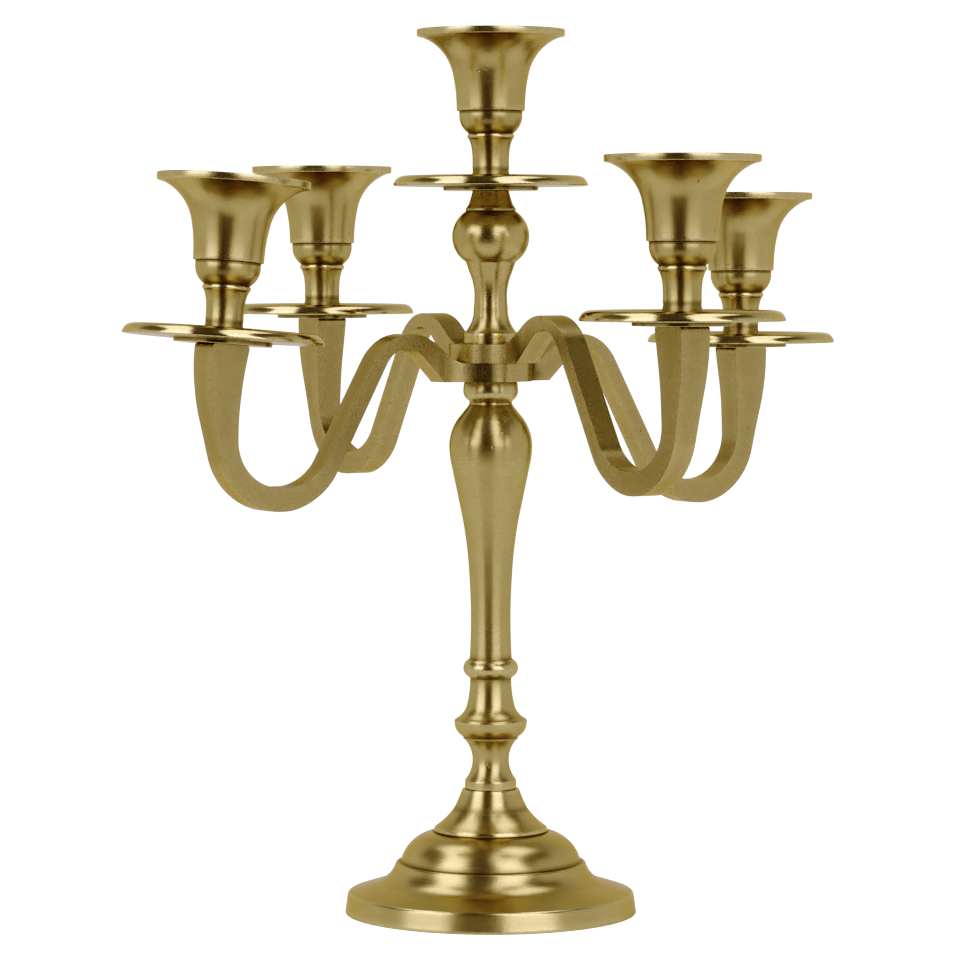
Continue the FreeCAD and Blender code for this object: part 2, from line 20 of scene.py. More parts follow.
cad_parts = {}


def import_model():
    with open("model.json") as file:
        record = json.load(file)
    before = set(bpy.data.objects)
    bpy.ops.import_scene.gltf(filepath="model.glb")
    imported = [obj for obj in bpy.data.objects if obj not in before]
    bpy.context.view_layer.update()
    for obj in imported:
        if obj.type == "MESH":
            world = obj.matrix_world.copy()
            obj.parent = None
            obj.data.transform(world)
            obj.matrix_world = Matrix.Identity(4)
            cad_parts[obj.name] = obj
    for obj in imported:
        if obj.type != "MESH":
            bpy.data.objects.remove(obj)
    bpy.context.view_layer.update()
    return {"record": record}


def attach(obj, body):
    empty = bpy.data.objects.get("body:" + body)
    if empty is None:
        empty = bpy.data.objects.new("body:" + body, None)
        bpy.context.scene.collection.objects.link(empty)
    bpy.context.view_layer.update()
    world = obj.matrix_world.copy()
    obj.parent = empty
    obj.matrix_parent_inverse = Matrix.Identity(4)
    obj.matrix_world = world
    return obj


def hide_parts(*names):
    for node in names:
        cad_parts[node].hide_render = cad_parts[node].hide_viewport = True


LOG = logging.getLogger("candelabra")
MM = 0.001
FULL_TURN = math.tau

Colour = tuple[float, float, float]
Mesh = bmesh.types.BMesh
Material = bpy.types.Material
Socket = bpy.types.NodeSocket
Tree = bpy.types.NodeTree


# ------------------------------------------------------------ finishes


class Marks(Enum):
    """How a surface was worked, which sets the way its fine marks run."""

    TURNED = "turned"
    FILED = "filed"
    THREADED = "threaded"


# How much the pattern of the marks is drawn out along the cut; less is longer.
TURN_STRETCH = 0.03
FILE_STRETCH = 0.35
CROSS_STRETCH = 0.12
# A quarter turn, as a share of a full one.
QUARTER = 0.25


class Graph:
    """Small helper that lays out the nodes of one material or group."""

    def __init__(self, tree: Tree) -> None:
        """Work on the node tree of a material or of a node group."""
        self.tree = tree

    def node(self, kind: str, **settings: object) -> bpy.types.Node:
        """Add a node and set its properties.

        Args:
            kind: Blender's name of the node type.
            **settings: Properties of the node and their values.

        Returns:
            The new node.
        """
        made = self.tree.nodes.new(kind)
        for name, value in settings.items():
            setattr(made, name, value)
        return made

    def link(self, source: Socket, target: Socket) -> None:
        """Join an output to an input."""
        self.tree.links.new(source, target)

    def feed(self, target: Socket, value: object) -> None:
        """Give an input either a link, when the value is a socket, or a constant.

        Args:
            target: Input that takes the value.
            value: Socket or constant.
        """
        if isinstance(value, Socket):
            self.link(value, target)
        else:
            target.default_value = value

    def math(
        self, operation: str, first: object, second: object = 0.0, clamp: bool = False
    ) -> Socket:
        """Work out one sum.

        Args:
            operation: Name of the sum, such as MULTIPLY.
            first: Socket or number.
            second: Socket or number.
            clamp: Whether the result is kept between 0 and 1.

        Returns:
            The socket that holds the result.
        """
        made = self.node("ShaderNodeMath", operation=operation, use_clamp=clamp)
        self.feed(made.inputs[0], first)
        self.feed(made.inputs[1], second)
        return made.outputs[0]

    def times(self, *values: object) -> Socket:
        """Multiply two or more values.

        Args:
            *values: Sockets or numbers.

        Returns:
            The socket with the product.
        """
        result = values[0]
        for value in values[1:]:
            result = self.math("MULTIPLY", result, value)
        return result

    def plus(self, first: object, second: object) -> Socket:
        """Add two values, each a socket or a number."""
        return self.math("ADD", first, second)

    def minus(self, first: object, second: object, clamp: bool = False) -> Socket:
        """Take the second value from the first, each a socket or a number."""
        return self.math("SUBTRACT", first, second, clamp)

    def spread(
        self, value: object, low: float, high: float, to_low: float = 0.0, to_high: float = 1.0
    ) -> Socket:
        """Map a range of values smoothly on to another.

        Args:
            value: Socket with the value.
            low: Value that becomes to_low.
            high: Value that becomes to_high.
            to_low: Result at the low end.
            to_high: Result at the high end.

        Returns:
            The socket that holds the result.
        """
        made = self.node("ShaderNodeMapRange", interpolation_type="SMOOTHSTEP")
        for index, item in enumerate((value, low, high, to_low, to_high)):
            self.feed(made.inputs[index], item)
        return made.outputs[0]

    def noise(self, vector: Socket, scale: object, detail: float, rough: float) -> Socket:
        """Add a noise pattern.

        Args:
            vector: Socket with the place on the piece.
            scale: Fineness of the pattern, per metre.
            detail: Number of finer layers.
            rough: Strength of the finer layers.

        Returns:
            The socket with values from 0 to 1.
        """
        made = self.node("ShaderNodeTexNoise", noise_dimensions="3D")
        self.link(vector, made.inputs["Vector"])
        self.feed(made.inputs["Scale"], scale)
        made.inputs["Detail"].default_value = detail
        made.inputs["Roughness"].default_value = rough
        return made.outputs["Fac"]

    def attribute(self, name: str) -> Socket:
        """Values that the mesh holds under a name."""
        return self.node("ShaderNodeAttribute", attribute_name=name).outputs["Fac"]

    def shared(self, group: Tree, place: Socket, **values: float) -> bpy.types.Node:
        """Place a shared node group.

        Args:
            group: Node group.
            place: Socket with the place on the piece.
            **values: Inputs of the group that this finish sets.

        Returns:
            The group's node.
        """
        made = self.node("ShaderNodeGroup", node_tree=group)
        self.link(place, made.inputs["Place"])
        for name, value in values.items():
            made.inputs[name].default_value = value
        return made

    def blend(self, factor: object, first: object, second: object) -> Socket:
        """Mix two colours.

        Args:
            factor: Share of the second colour.
            first: Socket or colour.
            second: Socket or colour.

        Returns:
            The socket with the mixed colour.
        """
        made = self.node("ShaderNodeMix", data_type="RGBA", blend_type="MIX")
        for index, value in ((0, factor), (6, first), (7, second)):
            self.feed(made.inputs[index], value)
        return made.outputs[2]


def repainted(owner: Material | bpy.types.World) -> Graph:
    """Clear the nodes of a material or of the world, to start anew.

    Args:
        owner: Material or world.

    Returns:
        The graph of its nodes.
    """
    owner.use_nodes = True
    owner.node_tree.nodes.clear()
    return Graph(owner.node_tree)


def placed(mesh: Mesh, name: str, material: Material) -> bpy.types.Object:
    """Make an object of a mesh and add it to the scene.

    Args:
        mesh: Mesh in metres; it is used up.
        name: Name of the object.
        material: Its material.

    Returns:
        The object.
    """
    data = bpy.data.meshes.new(name)
    mesh.to_mesh(data)
    mesh.free()
    data.materials.append(material)
    made = bpy.data.objects.new(name, data)
    bpy.context.collection.objects.link(made)
    return made


def group_with(
    name: str, inputs: dict[str, float], outputs: Iterable[str]
) -> tuple[Tree, Graph, dict, dict]:
    """Start a shader node group of plain value sockets.

    Args:
        name: Name of the group.
        inputs: Names of the inputs with their usual values.
        outputs: Names of the outputs.

    Returns:
        The group, its graph, its input sockets by name and its output sockets by name.
    """
    tree = bpy.data.node_groups.new(name, "ShaderNodeTree")
    new_socket = tree.interface.new_socket
    new_socket("Place", in_out="INPUT", socket_type="NodeSocketVector")
    for title, value in inputs.items():
        made = new_socket(title, in_out="INPUT", socket_type="NodeSocketFloat")
        made.default_value = value
    for title in outputs:
        new_socket(title, in_out="OUTPUT", socket_type="NodeSocketFloat")
    graph = Graph(tree)
    entry, leave = graph.node("NodeGroupInput"), graph.node("NodeGroupOutput")
    return tree, graph, entry.outputs, leave.inputs


class Effects:
    """Node groups that the finishes share, each built once. Sizes of patterns are per metre."""

    broad_lines = 0.35
    coarse_grain = 0.42
    grain_patches = 55.0
    pit_spacing = 210.0
    pit_patches = 95.0
    pit_depth = 6.0
    tone_clouds = 38.0
    specks = 900.0
    dirt_breaks = 300.0

    def __init__(self) -> None:
        """Build all the groups."""
        self.tool_lines = self._tool_lines()
        self.cast_grain = self._cast_grain()
        self.patina = self._patina()

    def _tool_lines(self) -> Tree:
        """Fine lines left by a turning tool, a file or a brush, stretched along the cut.

        Returns:
            The group, with the height of the lines and a mask of their polish.
        """
        tree, graph, given, result = group_with(
            "tool_lines", {"Along": 0.0, "Fineness": 2600.0, "Stretch": 0.03}, ("Height", "Polish")
        )
        split = graph.node("ShaderNodeSeparateXYZ")
        graph.link(given["Place"], split.inputs[0])
        join = graph.node("ShaderNodeCombineXYZ")
        for index in range(2):
            graph.link(graph.times(split.outputs[index], given["Stretch"]), join.inputs[index])
        graph.link(given["Along"], join.inputs[2])
        place = join.outputs[0]
        fine = graph.noise(place, given["Fineness"], detail=2.0, rough=0.6)
        broad_size = graph.times(given["Fineness"], self.broad_lines)
        broad = graph.noise(place, broad_size, detail=2.0, rough=0.5)
        height = graph.plus(graph.times(fine, 0.8), graph.times(broad, 0.2))
        graph.link(height, result["Height"])
        graph.link(graph.spread(broad, 0.34, 0.66), result["Polish"])
        return tree

    def _cast_grain(self) -> Tree:
        """Grain of the casting: an even fine grain, patches of coarser grain, and a few pits.

        Returns:
            The group, with the height of the grain and masks of the pits and the single grains.
        """
        tree, graph, given, result = group_with(
            "cast_grain", {"Size": 1700.0, "Coarse": 0.4, "Pits": 0.5}, ("Height", "Pit", "Speck")
        )
        place = given["Place"]
        fine = graph.noise(place, given["Size"], detail=4.0, rough=0.62)
        coarse_size = graph.times(given["Size"], self.coarse_grain)
        coarse = graph.noise(place, coarse_size, detail=3.0, rough=0.6)
        patches = graph.noise(place, self.grain_patches, detail=2.0, rough=0.5)
        lumps = graph.times(coarse, graph.spread(patches, 0.42, 0.62), given["Coarse"])
        cell = graph.node("ShaderNodeTexVoronoi", feature="F1", distance="EUCLIDEAN")
        graph.link(place, cell.inputs["Vector"])
        cell.inputs["Scale"].default_value = self.pit_spacing
        near = graph.spread(cell.outputs["Distance"], 0.05, 0.13, 1.0, 0.0)
        chance = graph.noise(place, self.pit_patches, detail=1.0, rough=0.5)
        pits = graph.times(near, graph.spread(chance, 0.60, 0.66), given["Pits"])
        height = graph.minus(graph.plus(fine, lumps), graph.times(pits, self.pit_depth))
        graph.link(height, result["Height"])
        graph.link(pits, result["Pit"])
        graph.link(graph.spread(fine, 0.34, 0.66), result["Speck"])
        return tree

    def _patina(self) -> Tree:
        """Where the metal has darkened, with tarnish and painted shade in the marked hollows, or
        been rubbed bright on the marked edges.

        Returns:
            The group, with masks of tarnish with painted shade, rubbed edges, dirt along edges and
            changes of tone.
        """
        tree, graph, given, result = group_with(
            "patina", {"Hollow": 0.0, "Edge": 0.0}, ("Tarnish_and_shade", "Rubbed", "Dirt", "Cloud")
        )
        place = given["Place"]
        cloud = graph.noise(place, self.tone_clouds, detail=4.0, rough=0.6)
        speck = graph.noise(place, self.specks, detail=3.0, rough=0.65)
        broken = graph.plus(graph.times(speck, 0.6), 0.55)
        worn = graph.spread(speck, 0.36, 0.60, 0.25, 1.0)
        breaks = graph.noise(place, self.dirt_breaks, detail=2.0, rough=0.6)
        corner = graph.spread(given["Edge"], 0.80, 1.0)
        dirt = graph.times(corner, graph.spread(breaks, 0.40, 0.58, 0.25, 1.0))
        # Tarnish in the hollows, which also paints shade into creases and steps.
        graph.link(graph.math("MULTIPLY", given["Hollow"], broken, clamp=True), result["Tarnish_and_shade"])
        graph.link(graph.math("MULTIPLY", given["Edge"], worn, clamp=True), result["Rubbed"])
        graph.link(dirt, result["Dirt"])
        graph.link(cloud, result["Cloud"])
        return tree


@dataclass(frozen=True)
class MetalFinish:
    """One finish of one metal.

    Args:
        name: Name of the material.
        marks: How the surface was worked.
        tone: Usual colour of the clean metal.
        deep: Colour where it has darkened a little.
        dark: Colour of tarnish and painted shade in hollows, and of pits.
        bright: Colour of rubbed edges.
        painted_reflection: Painted reflection colour, which the metal shows where it is seen in
            another piece of it.
        painted_reflection_share: Share of that painted reflection colour.
        rim: Tint of the metal where it is seen at a glance.
        roughness: Usual roughness.
        unevenness: How much the roughness changes from place to place.
        line_depth: Depth of the tool lines.
        fineness: Number of tool lines, per metre.
        grain_depth: Depth of the casting's grain.
        grain_size: Fineness of the grain, per metre.
        coarse: Share of coarser grain.
        pits: Share of pits.
        cross_marks: Depth of the level marks left across a bar, in patches.
        edge_wear: Strength of the rubbed edges.
        edge_dirt: Strength of the dark lines along edges.
        anisotropy: How far reflections are drawn out across the tool lines.
    """

    name: str
    marks: Marks = Marks.TURNED
    tone: Colour = (0.56, 0.435, 0.212)
    deep: Colour = (0.43, 0.332, 0.158)
    dark: Colour = (0.10, 0.077, 0.036)
    bright: Colour = (0.70, 0.575, 0.33)
    painted_reflection: Colour = (0.40, 0.375, 0.29)
    painted_reflection_share: float = 0.75
    rim: Colour = (0.87, 0.74, 0.50)
    roughness: float = 0.25
    unevenness: float = 0.08
    line_depth: float = 0.0035
    fineness: float = 2600.0
    grain_depth: float = 0.030
    grain_size: float = 1700.0
    coarse: float = 0.4
    pits: float = 0.5
    cross_marks: float = 0.0
    edge_wear: float = 0.75
    edge_dirt: float = 0.0
    anisotropy: float = 0.5

    def material(self, effects: Effects, middle: Vector) -> Material:
        """Build the material for pieces whose own axis passes through a point.

        Args:
            effects: Shared node groups.
            middle: Point, in metres, on the axis of the piece.

        Returns:
            The material.
        """
        material = bpy.data.materials.new(self.name)
        graph = repainted(material)
        centre = graph.node("ShaderNodeMapping")
        centre.inputs["Location"].default_value = -middle
        coordinates = graph.node("ShaderNodeTexCoord").outputs["Object"]
        graph.link(coordinates, centre.inputs["Vector"])
        place = centre.outputs["Vector"]

        stretch = FILE_STRETCH if self.marks is Marks.FILED else TURN_STRETCH
        lines = graph.shared(effects.tool_lines, place, Fineness=self.fineness, Stretch=stretch)
        graph.link(graph.attribute("along"), lines.inputs["Along"])
        grain = graph.shared(
            effects.cast_grain, place, Size=self.grain_size, Coarse=self.coarse, Pits=self.pits
        )
        patina = graph.shared(effects.patina, place)
        graph.link(graph.attribute("hollow"), patina.inputs["Hollow"])
        graph.link(graph.attribute("edge"), patina.inputs["Edge"])

        shader = graph.node("ShaderNodeBsdfPrincipled")
        shader.inputs["Metallic"].default_value = 1.0
        shader.inputs["Specular Tint"].default_value = (*self.rim, 1.0)
        graph.link(self._colour(graph, lines, grain, patina), shader.inputs["Base Color"])
        graph.link(self._roughness(graph, lines, patina), shader.inputs["Roughness"])
        relief = self._relief(graph, effects, place, lines, grain, patina)
        graph.link(relief, shader.inputs["Normal"])
        if self.marks is Marks.TURNED:
            shader.inputs["Anisotropic"].default_value = self.anisotropy
            shader.inputs["Anisotropic Rotation"].default_value = QUARTER
            tangent = graph.node("ShaderNodeTangent", direction_type="UV_MAP", uv_map="turning")
            graph.link(tangent.outputs[0], shader.inputs["Tangent"])
        output = graph.node("ShaderNodeOutputMaterial")
        graph.link(shader.outputs[0], output.inputs["Surface"])
        return material

    def _colour(
        self, graph: Graph, lines: bpy.types.Node, grain: bpy.types.Node, patina: bpy.types.Node
    ) -> Socket:
        """Colour of the metal, with its wear, dirt, pits, tarnish with painted shade in hollows,
        and a painted reflection colour.

        Args:
            graph: Nodes of the material.
            lines: Tool lines.
            grain: Grain of the casting.
            patina: Masks of wear, and of tarnish with painted shade in hollows.

        Returns:
            The socket with the colour.
        """
        cloudy = graph.spread(patina.outputs["Cloud"], 0.35, 0.68)
        darkened = graph.plus(graph.times(cloudy, 0.4), graph.times(grain.outputs["Speck"], 0.5))
        # Painted reflection: where the metal is seen in a reflection, its colour turns greyer.
        painted_reflection = graph.node("ShaderNodeLightPath").outputs["Is Glossy Ray"]
        colour = (*self.tone, 1.0)
        for share, other in (
            (darkened, self.deep),
            (graph.times(lines.outputs["Polish"], 0.04), self.bright),
            (graph.times(patina.outputs["Rubbed"], self.edge_wear), self.bright),
            (graph.times(patina.outputs["Dirt"], self.edge_dirt), self.dark),
            # Tarnish and painted shade in the hollows.
            (patina.outputs["Tarnish_and_shade"], self.dark),
            (graph.times(grain.outputs["Pit"], 0.8), self.dark),
            (graph.times(painted_reflection, self.painted_reflection_share), self.painted_reflection),
        ):
            colour = graph.blend(share, colour, (*other, 1.0))
        return colour

    def _roughness(self, graph: Graph, lines: bpy.types.Node, patina: bpy.types.Node) -> Socket:
        """Roughness: uneven, duller where tarnished and smoother where rubbed.

        Args:
            graph: Nodes of the material.
            lines: Tool lines.
            patina: Masks of wear, and of tarnish with painted shade in hollows.

        Returns:
            The socket with the roughness.
        """
        polish = graph.times(lines.outputs["Polish"], 0.2)
        uneven = graph.minus(patina.outputs["Cloud"], polish)
        rough = graph.plus(graph.times(uneven, self.unevenness), self.roughness)
        rough = graph.plus(rough, graph.times(patina.outputs["Tarnish_and_shade"], 0.22))
        return graph.minus(rough, graph.times(patina.outputs["Rubbed"], 0.08), clamp=True)

    def _relief(
        self,
        graph: Graph,
        effects: Effects,
        place: Socket,
        lines: bpy.types.Node,
        grain: bpy.types.Node,
        patina: bpy.types.Node,
    ) -> Socket:
        """Normal of the surface with its tool lines, its grain and any marks across it.

        Args:
            graph: Nodes of the material.
            effects: Shared node groups.
            place: Place on the piece, from its axis.
            lines: Tool lines.
            grain: Grain of the casting.
            patina: Masks of wear, and of tarnish with painted shade in hollows.

        Returns:
            The socket with the normal.
        """
        layers = [
            (lines.outputs["Height"], self.line_depth),
            (grain.outputs["Height"], self.grain_depth),
        ]
        if self.cross_marks:
            across = graph.shared(
                effects.tool_lines, place, Fineness=self.fineness / 2, Stretch=CROSS_STRETCH
            )
            level = graph.node("ShaderNodeSeparateXYZ")
            graph.link(place, level.inputs[0])
            graph.link(level.outputs[2], across.inputs["Along"])
            patches = graph.spread(patina.outputs["Cloud"], 0.46, 0.58)
            layers.append((graph.times(across.outputs["Height"], patches), self.cross_marks))
        normal = None
        for height, depth in layers:
            bump = graph.node("ShaderNodeBump")
            bump.inputs["Strength"].default_value = 1.0
            bump.inputs["Distance"].default_value = depth * MM
            graph.link(height, bump.inputs["Height"])
            if normal is not None:
                graph.link(normal, bump.inputs["Normal"])
            normal = bump.outputs["Normal"]
        return normal


TURNED = MetalFinish("turned_brass")
POLISHED = MetalFinish(
    "pan_brass", roughness=0.14, line_depth=0.010, grain_depth=0.014, coarse=0.2, pits=0.25
)
CUP = MetalFinish(
    "cup_brass", roughness=0.26, line_depth=0.0065, grain_depth=0.034, coarse=0.6, pits=0.6
)
FOOT = MetalFinish(
    "foot_brass", roughness=0.22, line_depth=0.009, grain_depth=0.028, coarse=0.5, pits=0.4
)
FILED = MetalFinish(
    "filed_brass",
    marks=Marks.FILED,
    tone=(0.46, 0.35, 0.17),
    deep=(0.37, 0.28, 0.132),
    bright=(0.60, 0.48, 0.26),
    roughness=0.27,
    line_depth=0.022,
    fineness=1800.0,
    grain_depth=0.010,
    coarse=0.35,
    pits=0.8,
    cross_marks=0.022,
    edge_wear=0.5,
    edge_dirt=0.75,
)
STEEL = MetalFinish(
    "rod_steel",
    marks=Marks.THREADED,
    tone=(0.52, 0.52, 0.51),
    deep=(0.40, 0.40, 0.395),
    dark=(0.10, 0.09, 0.08),
    bright=(0.72, 0.72, 0.71),
    painted_reflection_share=0.0,
    rim=(1.0, 1.0, 1.0),
    roughness=0.34,
    line_depth=0.01,
    grain_depth=0.01,
    pits=0.0,
)


# ------------------------------------------------------------ meshes


def round_off(mesh: Mesh, parts: list, size: float, segments: int, kind: str = "EDGES") -> None:
    """Round edges of a piece, or corners of an outline.

    Args:
        mesh: Piece or outline in millimetres.
        parts: Its edges or corners.
        size: How far they are rounded back along their sides.
        segments: Number of steps round the bend.
        kind: EDGES, or VERTICES for the corners of an outline.
    """
    bmesh.ops.bevel(
        mesh,
        geom=parts,
        offset=size,
        offset_type="OFFSET",
        segments=segments,
        profile=0.5,
        affect=kind,
        clamp_overlap=kind == "EDGES",
        material=-1,
    )


@dataclass(frozen=True)
class Station:
    """A corner of a turned outline, in millimetres.

    Args:
        radius: Distance from the axis.
        rise: Height above the station below.
        arc: Radius of the arc to the next station: positive bulges, negative is hollow, and 0
            is straight.
        ease: How far the corner is rounded back along its sides.
    """

    radius: float
    rise: float
    arc: float = 0.0
    ease: float = 0.18


class Lathe:
    """Draws an outline in the XZ plane and spins it into a closed turned piece.

    The reach is the longest side along an arc, and a large ease takes more steps, both in
    millimetres.
    """

    reach = 0.9
    large_ease = 0.5

    def __init__(self, radius: float, height: float, ease: float = 0.0) -> None:
        """Start the outline.

        Args:
            radius: Distance of the first corner from the axis.
            height: Height of the first corner.
            ease: Rounding of the first corner.
        """
        self.mesh = bmesh.new()
        self.tip = self.mesh.verts.new((radius, 0.0, height))
        self.first = self.tip
        self.corners: list[tuple[bmesh.types.BMVert, float]] = [(self.tip, ease)]

    @property
    def height(self) -> float:
        """Height that the outline has reached."""
        return self.tip.co.z

    def line(self, radius: float, height: float, ease: float = 0.0) -> Lathe:
        """Draw a straight side.

        Args:
            radius: Distance of its end from the axis.
            height: Height of its end.
            ease: Rounding of its end.

        Returns:
            The lathe itself.
        """
        made = bmesh.ops.extrude_vert_indiv(self.mesh, verts=[self.tip])
        self.tip = made["verts"][0]
        self.tip.co = (radius, 0.0, height)
        self.corners.append((self.tip, ease))
        return self

    def arc(self, radius: float, height: float, bulge: float, ease: float = 0.0) -> Lathe:
        """Draw an arc.

        Args:
            radius: Distance of its end from the axis.
            height: Height of its end.
            bulge: Radius of the arc; positive bulges to the right of the way drawn.
            ease: Rounding of its end.

        Returns:
            The lathe itself.
        """
        start, end = self.tip.co.copy(), Vector((radius, 0.0, height))
        chord = end - start
        left = Vector((-chord.z, 0.0, chord.x)).normalized()
        depth = math.sqrt(max(bulge * bulge - chord.length_squared / 4, 0.0))
        centre = (start + end) / 2 + left * math.copysign(depth, bulge)
        angle = 2 * math.asin(min(chord.length / 2 / abs(bulge), 1.0))
        steps = max(4, math.ceil(abs(bulge) * angle / self.reach))
        made = bmesh.ops.spin(
            self.mesh,
            geom=[self.tip],
            cent=centre,
            axis=(0, -1, 0),
            angle=math.copysign(angle, bulge),
            steps=steps,
            use_merge=False,
            use_duplicate=False,
        )
        self.tip = next(item for item in made["geom_last"] if isinstance(item, bmesh.types.BMVert))
        self.corners.append((self.tip, ease))
        return self

    def follow(self, stations: Iterable[Station]) -> Lathe:
        """Draw an outline from station to station, starting at the first one.

        Args:
            stations: Stations from the lower end up; the first is where the lathe already stands.

        Returns:
            The lathe itself.
        """
        before = None
        for station in stations:
            if before is not None:
                height = self.height + station.rise
                if before.arc:
                    self.arc(station.radius, height, before.arc, station.ease)
                else:
                    self.line(station.radius, height, station.ease)
            before = station
        return self

    def finish(self, steps: int, closed: bool = False) -> Mesh:
        """Round the corners, divide long sides and spin the outline about the axis.

        Args:
            steps: Number of faces round the piece.
            closed: Whether the outline ends at its own start, as round a bore.

        Returns:
            The turned piece, with the distance along the outline in "along".
        """
        mesh = self.mesh
        if closed:
            mesh.edges.new((self.tip, self.first))
        for ease in sorted({ease for _, ease in self.corners if ease}):
            rounded = [corner for corner, size in self.corners if size == ease and corner.is_valid]
            round_off(mesh, rounded, ease, 3 if ease < self.large_ease else 6, "VERTICES")
        for edge in list(mesh.edges):
            cuts = math.ceil(edge.calc_length() / (self.reach * 1.4)) - 1
            if cuts > 0:
                bmesh.ops.subdivide_edges(mesh, edges=[edge], cuts=cuts)
        layer = mesh.verts.layers.float.new("along")
        self._measure(layer)
        outline = [*mesh.verts, *mesh.edges]
        bmesh.ops.spin(
            mesh,
            geom=outline,
            cent=(0, 0, 0),
            axis=(0, 0, 1),
            angle=FULL_TURN,
            steps=steps,
            use_merge=True,
            use_duplicate=False,
        )
        bmesh.ops.remove_doubles(mesh, verts=list(mesh.verts), dist=1e-4)
        bmesh.ops.recalc_face_normals(mesh, faces=list(mesh.faces))
        return mesh

    def _measure(self, layer: bmesh.types.BMLayerItem) -> None:
        """Write the distance along the outline, in metres, at each of its points.

        Args:
            layer: Layer that takes the distance.
        """
        ends = [vert for vert in self.mesh.verts if len(vert.link_edges) == 1]
        here = min(ends or self.mesh.verts, key=lambda vert: (vert.co.z, vert.co.x))
        travelled, seen = 0.0, {here}
        while here is not None:
            here[layer] = travelled * MM
            ahead = [edge for edge in here.link_edges if edge.other_vert(here) not in seen]
            if not ahead:
                break
            travelled += ahead[0].calc_length()
            here = ahead[0].other_vert(here)
            seen.add(here)


def mark_edges(mesh: Mesh, least: float = 9.0, full: float = 55.0 / 3, rings: int = 2) -> None:
    """Mark convex edges in "edge" and hollow ones in "hollow", each from 0 to 1.

    Args:
        mesh: Piece in millimetres, with outward normals.
        least: Angle between two faces, in degrees, from which an edge is marked.
        full: Angle that counts as a full edge.
        rings: How many rings of neighbours the marks fade over.
    """
    own, near_by = 0.45, 0.44
    mesh.normal_update()
    edge_layer = mesh.verts.layers.float.new("edge")
    hollow_layer = mesh.verts.layers.float.new("hollow")
    for vert in mesh.verts:
        turns = [edge.calc_face_angle_signed(0.0) for edge in vert.link_edges if edge.is_manifold]
        strongest = math.degrees(max(turns, key=abs, default=0.0))
        amount = min(abs(strongest) / full, 1.0) if abs(strongest) > least else 0.0
        vert[edge_layer] = amount if strongest > 0 else 0.0
        vert[hollow_layer] = amount if strongest < 0 else 0.0
    for layer in (edge_layer, hollow_layer):
        for _ in range(rings):
            fresh = {}
            for vert in mesh.verts:
                near = [edge.other_vert(vert)[layer] for edge in vert.link_edges]
                if near and max(near) > vert[layer]:
                    fresh[vert] = vert[layer] * own + max(near) * near_by
            for vert, value in fresh.items():
                vert[layer] = max(vert[layer], value)


# Millimetres along the outline that fill the height of the laid-out surface.
UNROLLED_HEIGHT = 100.0


@dataclass
class Seat:
    """Where a piece stands: a point in millimetres and a lean about Y in degrees.

    Args:
        point: Lower end of the piece, on its axis.
        lean: Lean of its axis towards +X.
    """

    point: Vector
    lean: float = 0.0

    @classmethod
    def at(cls, height: float) -> Seat:
        """A level seat on the stem's axis."""
        return cls(Vector((0.0, 0.0, height)))

    @property
    def matrix(self) -> Matrix:
        """Turn and shift that set a piece here."""
        return Matrix.Translation(self.point) @ Matrix.Rotation(math.radians(self.lean), 4, "Y")

    def lifted(self, height: float) -> Seat:
        """The seat at a height along the same axis."""
        return Seat(self.matrix @ Vector((0.0, 0.0, height)), self.lean)


@dataclass
class Workshop:
    """Turns finished meshes into dressed pieces that ride on their bodies.

    Args:
        effects: Shared node groups.
        body_of_node: Body that each CAD node rides on.
    """

    effects: Effects
    body_of_node: dict[str, str]
    materials: dict[tuple[str, tuple[float, float]], Material] = field(default_factory=dict)

    def _material(self, finish: MetalFinish, point: Vector) -> Material:
        """A finish centred on one axis, built once for each axis.

        Args:
            finish: Finish to build.
            point: Point on the axis, in millimetres.

        Returns:
            The material.
        """
        key = (finish.name, (round(point.x, 1), round(point.y, 1)))
        if key not in self.materials:
            axis = Vector((point.x, point.y, 0.0)) * MM
            self.materials[key] = finish.material(self.effects, axis)
        return self.materials[key]

    def deliver(
        self, mesh: Mesh, node: str, seat: Seat, finish: MetalFinish, slot: str
    ) -> bpy.types.Object:
        """Make a piece from a mesh and let it stand for a CAD node.

        Args:
            mesh: Piece in millimetres in its own frame; it is used up.
            node: CAD node that it stands for.
            seat: Where it stands.
            finish: Finish of its surface.
            slot: Material slot of the record; not used.

        Returns:
            The finished object.
        """
        mark_edges(mesh)
        self._unroll(mesh)
        bmesh.ops.transform(mesh, matrix=Matrix.Scale(MM, 4) @ seat.matrix, verts=list(mesh.verts))
        for face in mesh.faces:
            face.smooth = True
        piece = placed(mesh, f"{node}_look", self._material(finish, seat.point))
        body = self.body_of_node[node]
        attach(piece, body)
        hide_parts(node)
        LOG.info("%s: %d faces, rides on %s", piece.name, len(piece.data.polygons), body)
        return piece

    @staticmethod
    def _unroll(mesh: Mesh) -> None:
        """Lay the surface out round the axis, so that reflections can follow the tool lines.

        Args:
            mesh: Piece in its own frame.
        """
        layout = mesh.loops.layers.uv.new("turning")
        along = mesh.verts.layers.float.get("along")
        for face in mesh.faces:
            middle = face.calc_center_median()
            base = math.atan2(middle.y, middle.x)
            for loop in face.loops:
                angle = math.atan2(loop.vert.co.y, loop.vert.co.x)
                angle = base + math.remainder(angle - base, FULL_TURN)
                height = loop.vert[along] / MM if along else loop.vert.co.z
                loop[layout].uv = (angle / FULL_TURN, height / UNROLLED_HEIGHT)


# ------------------------------------------------------------ sub-assemblies


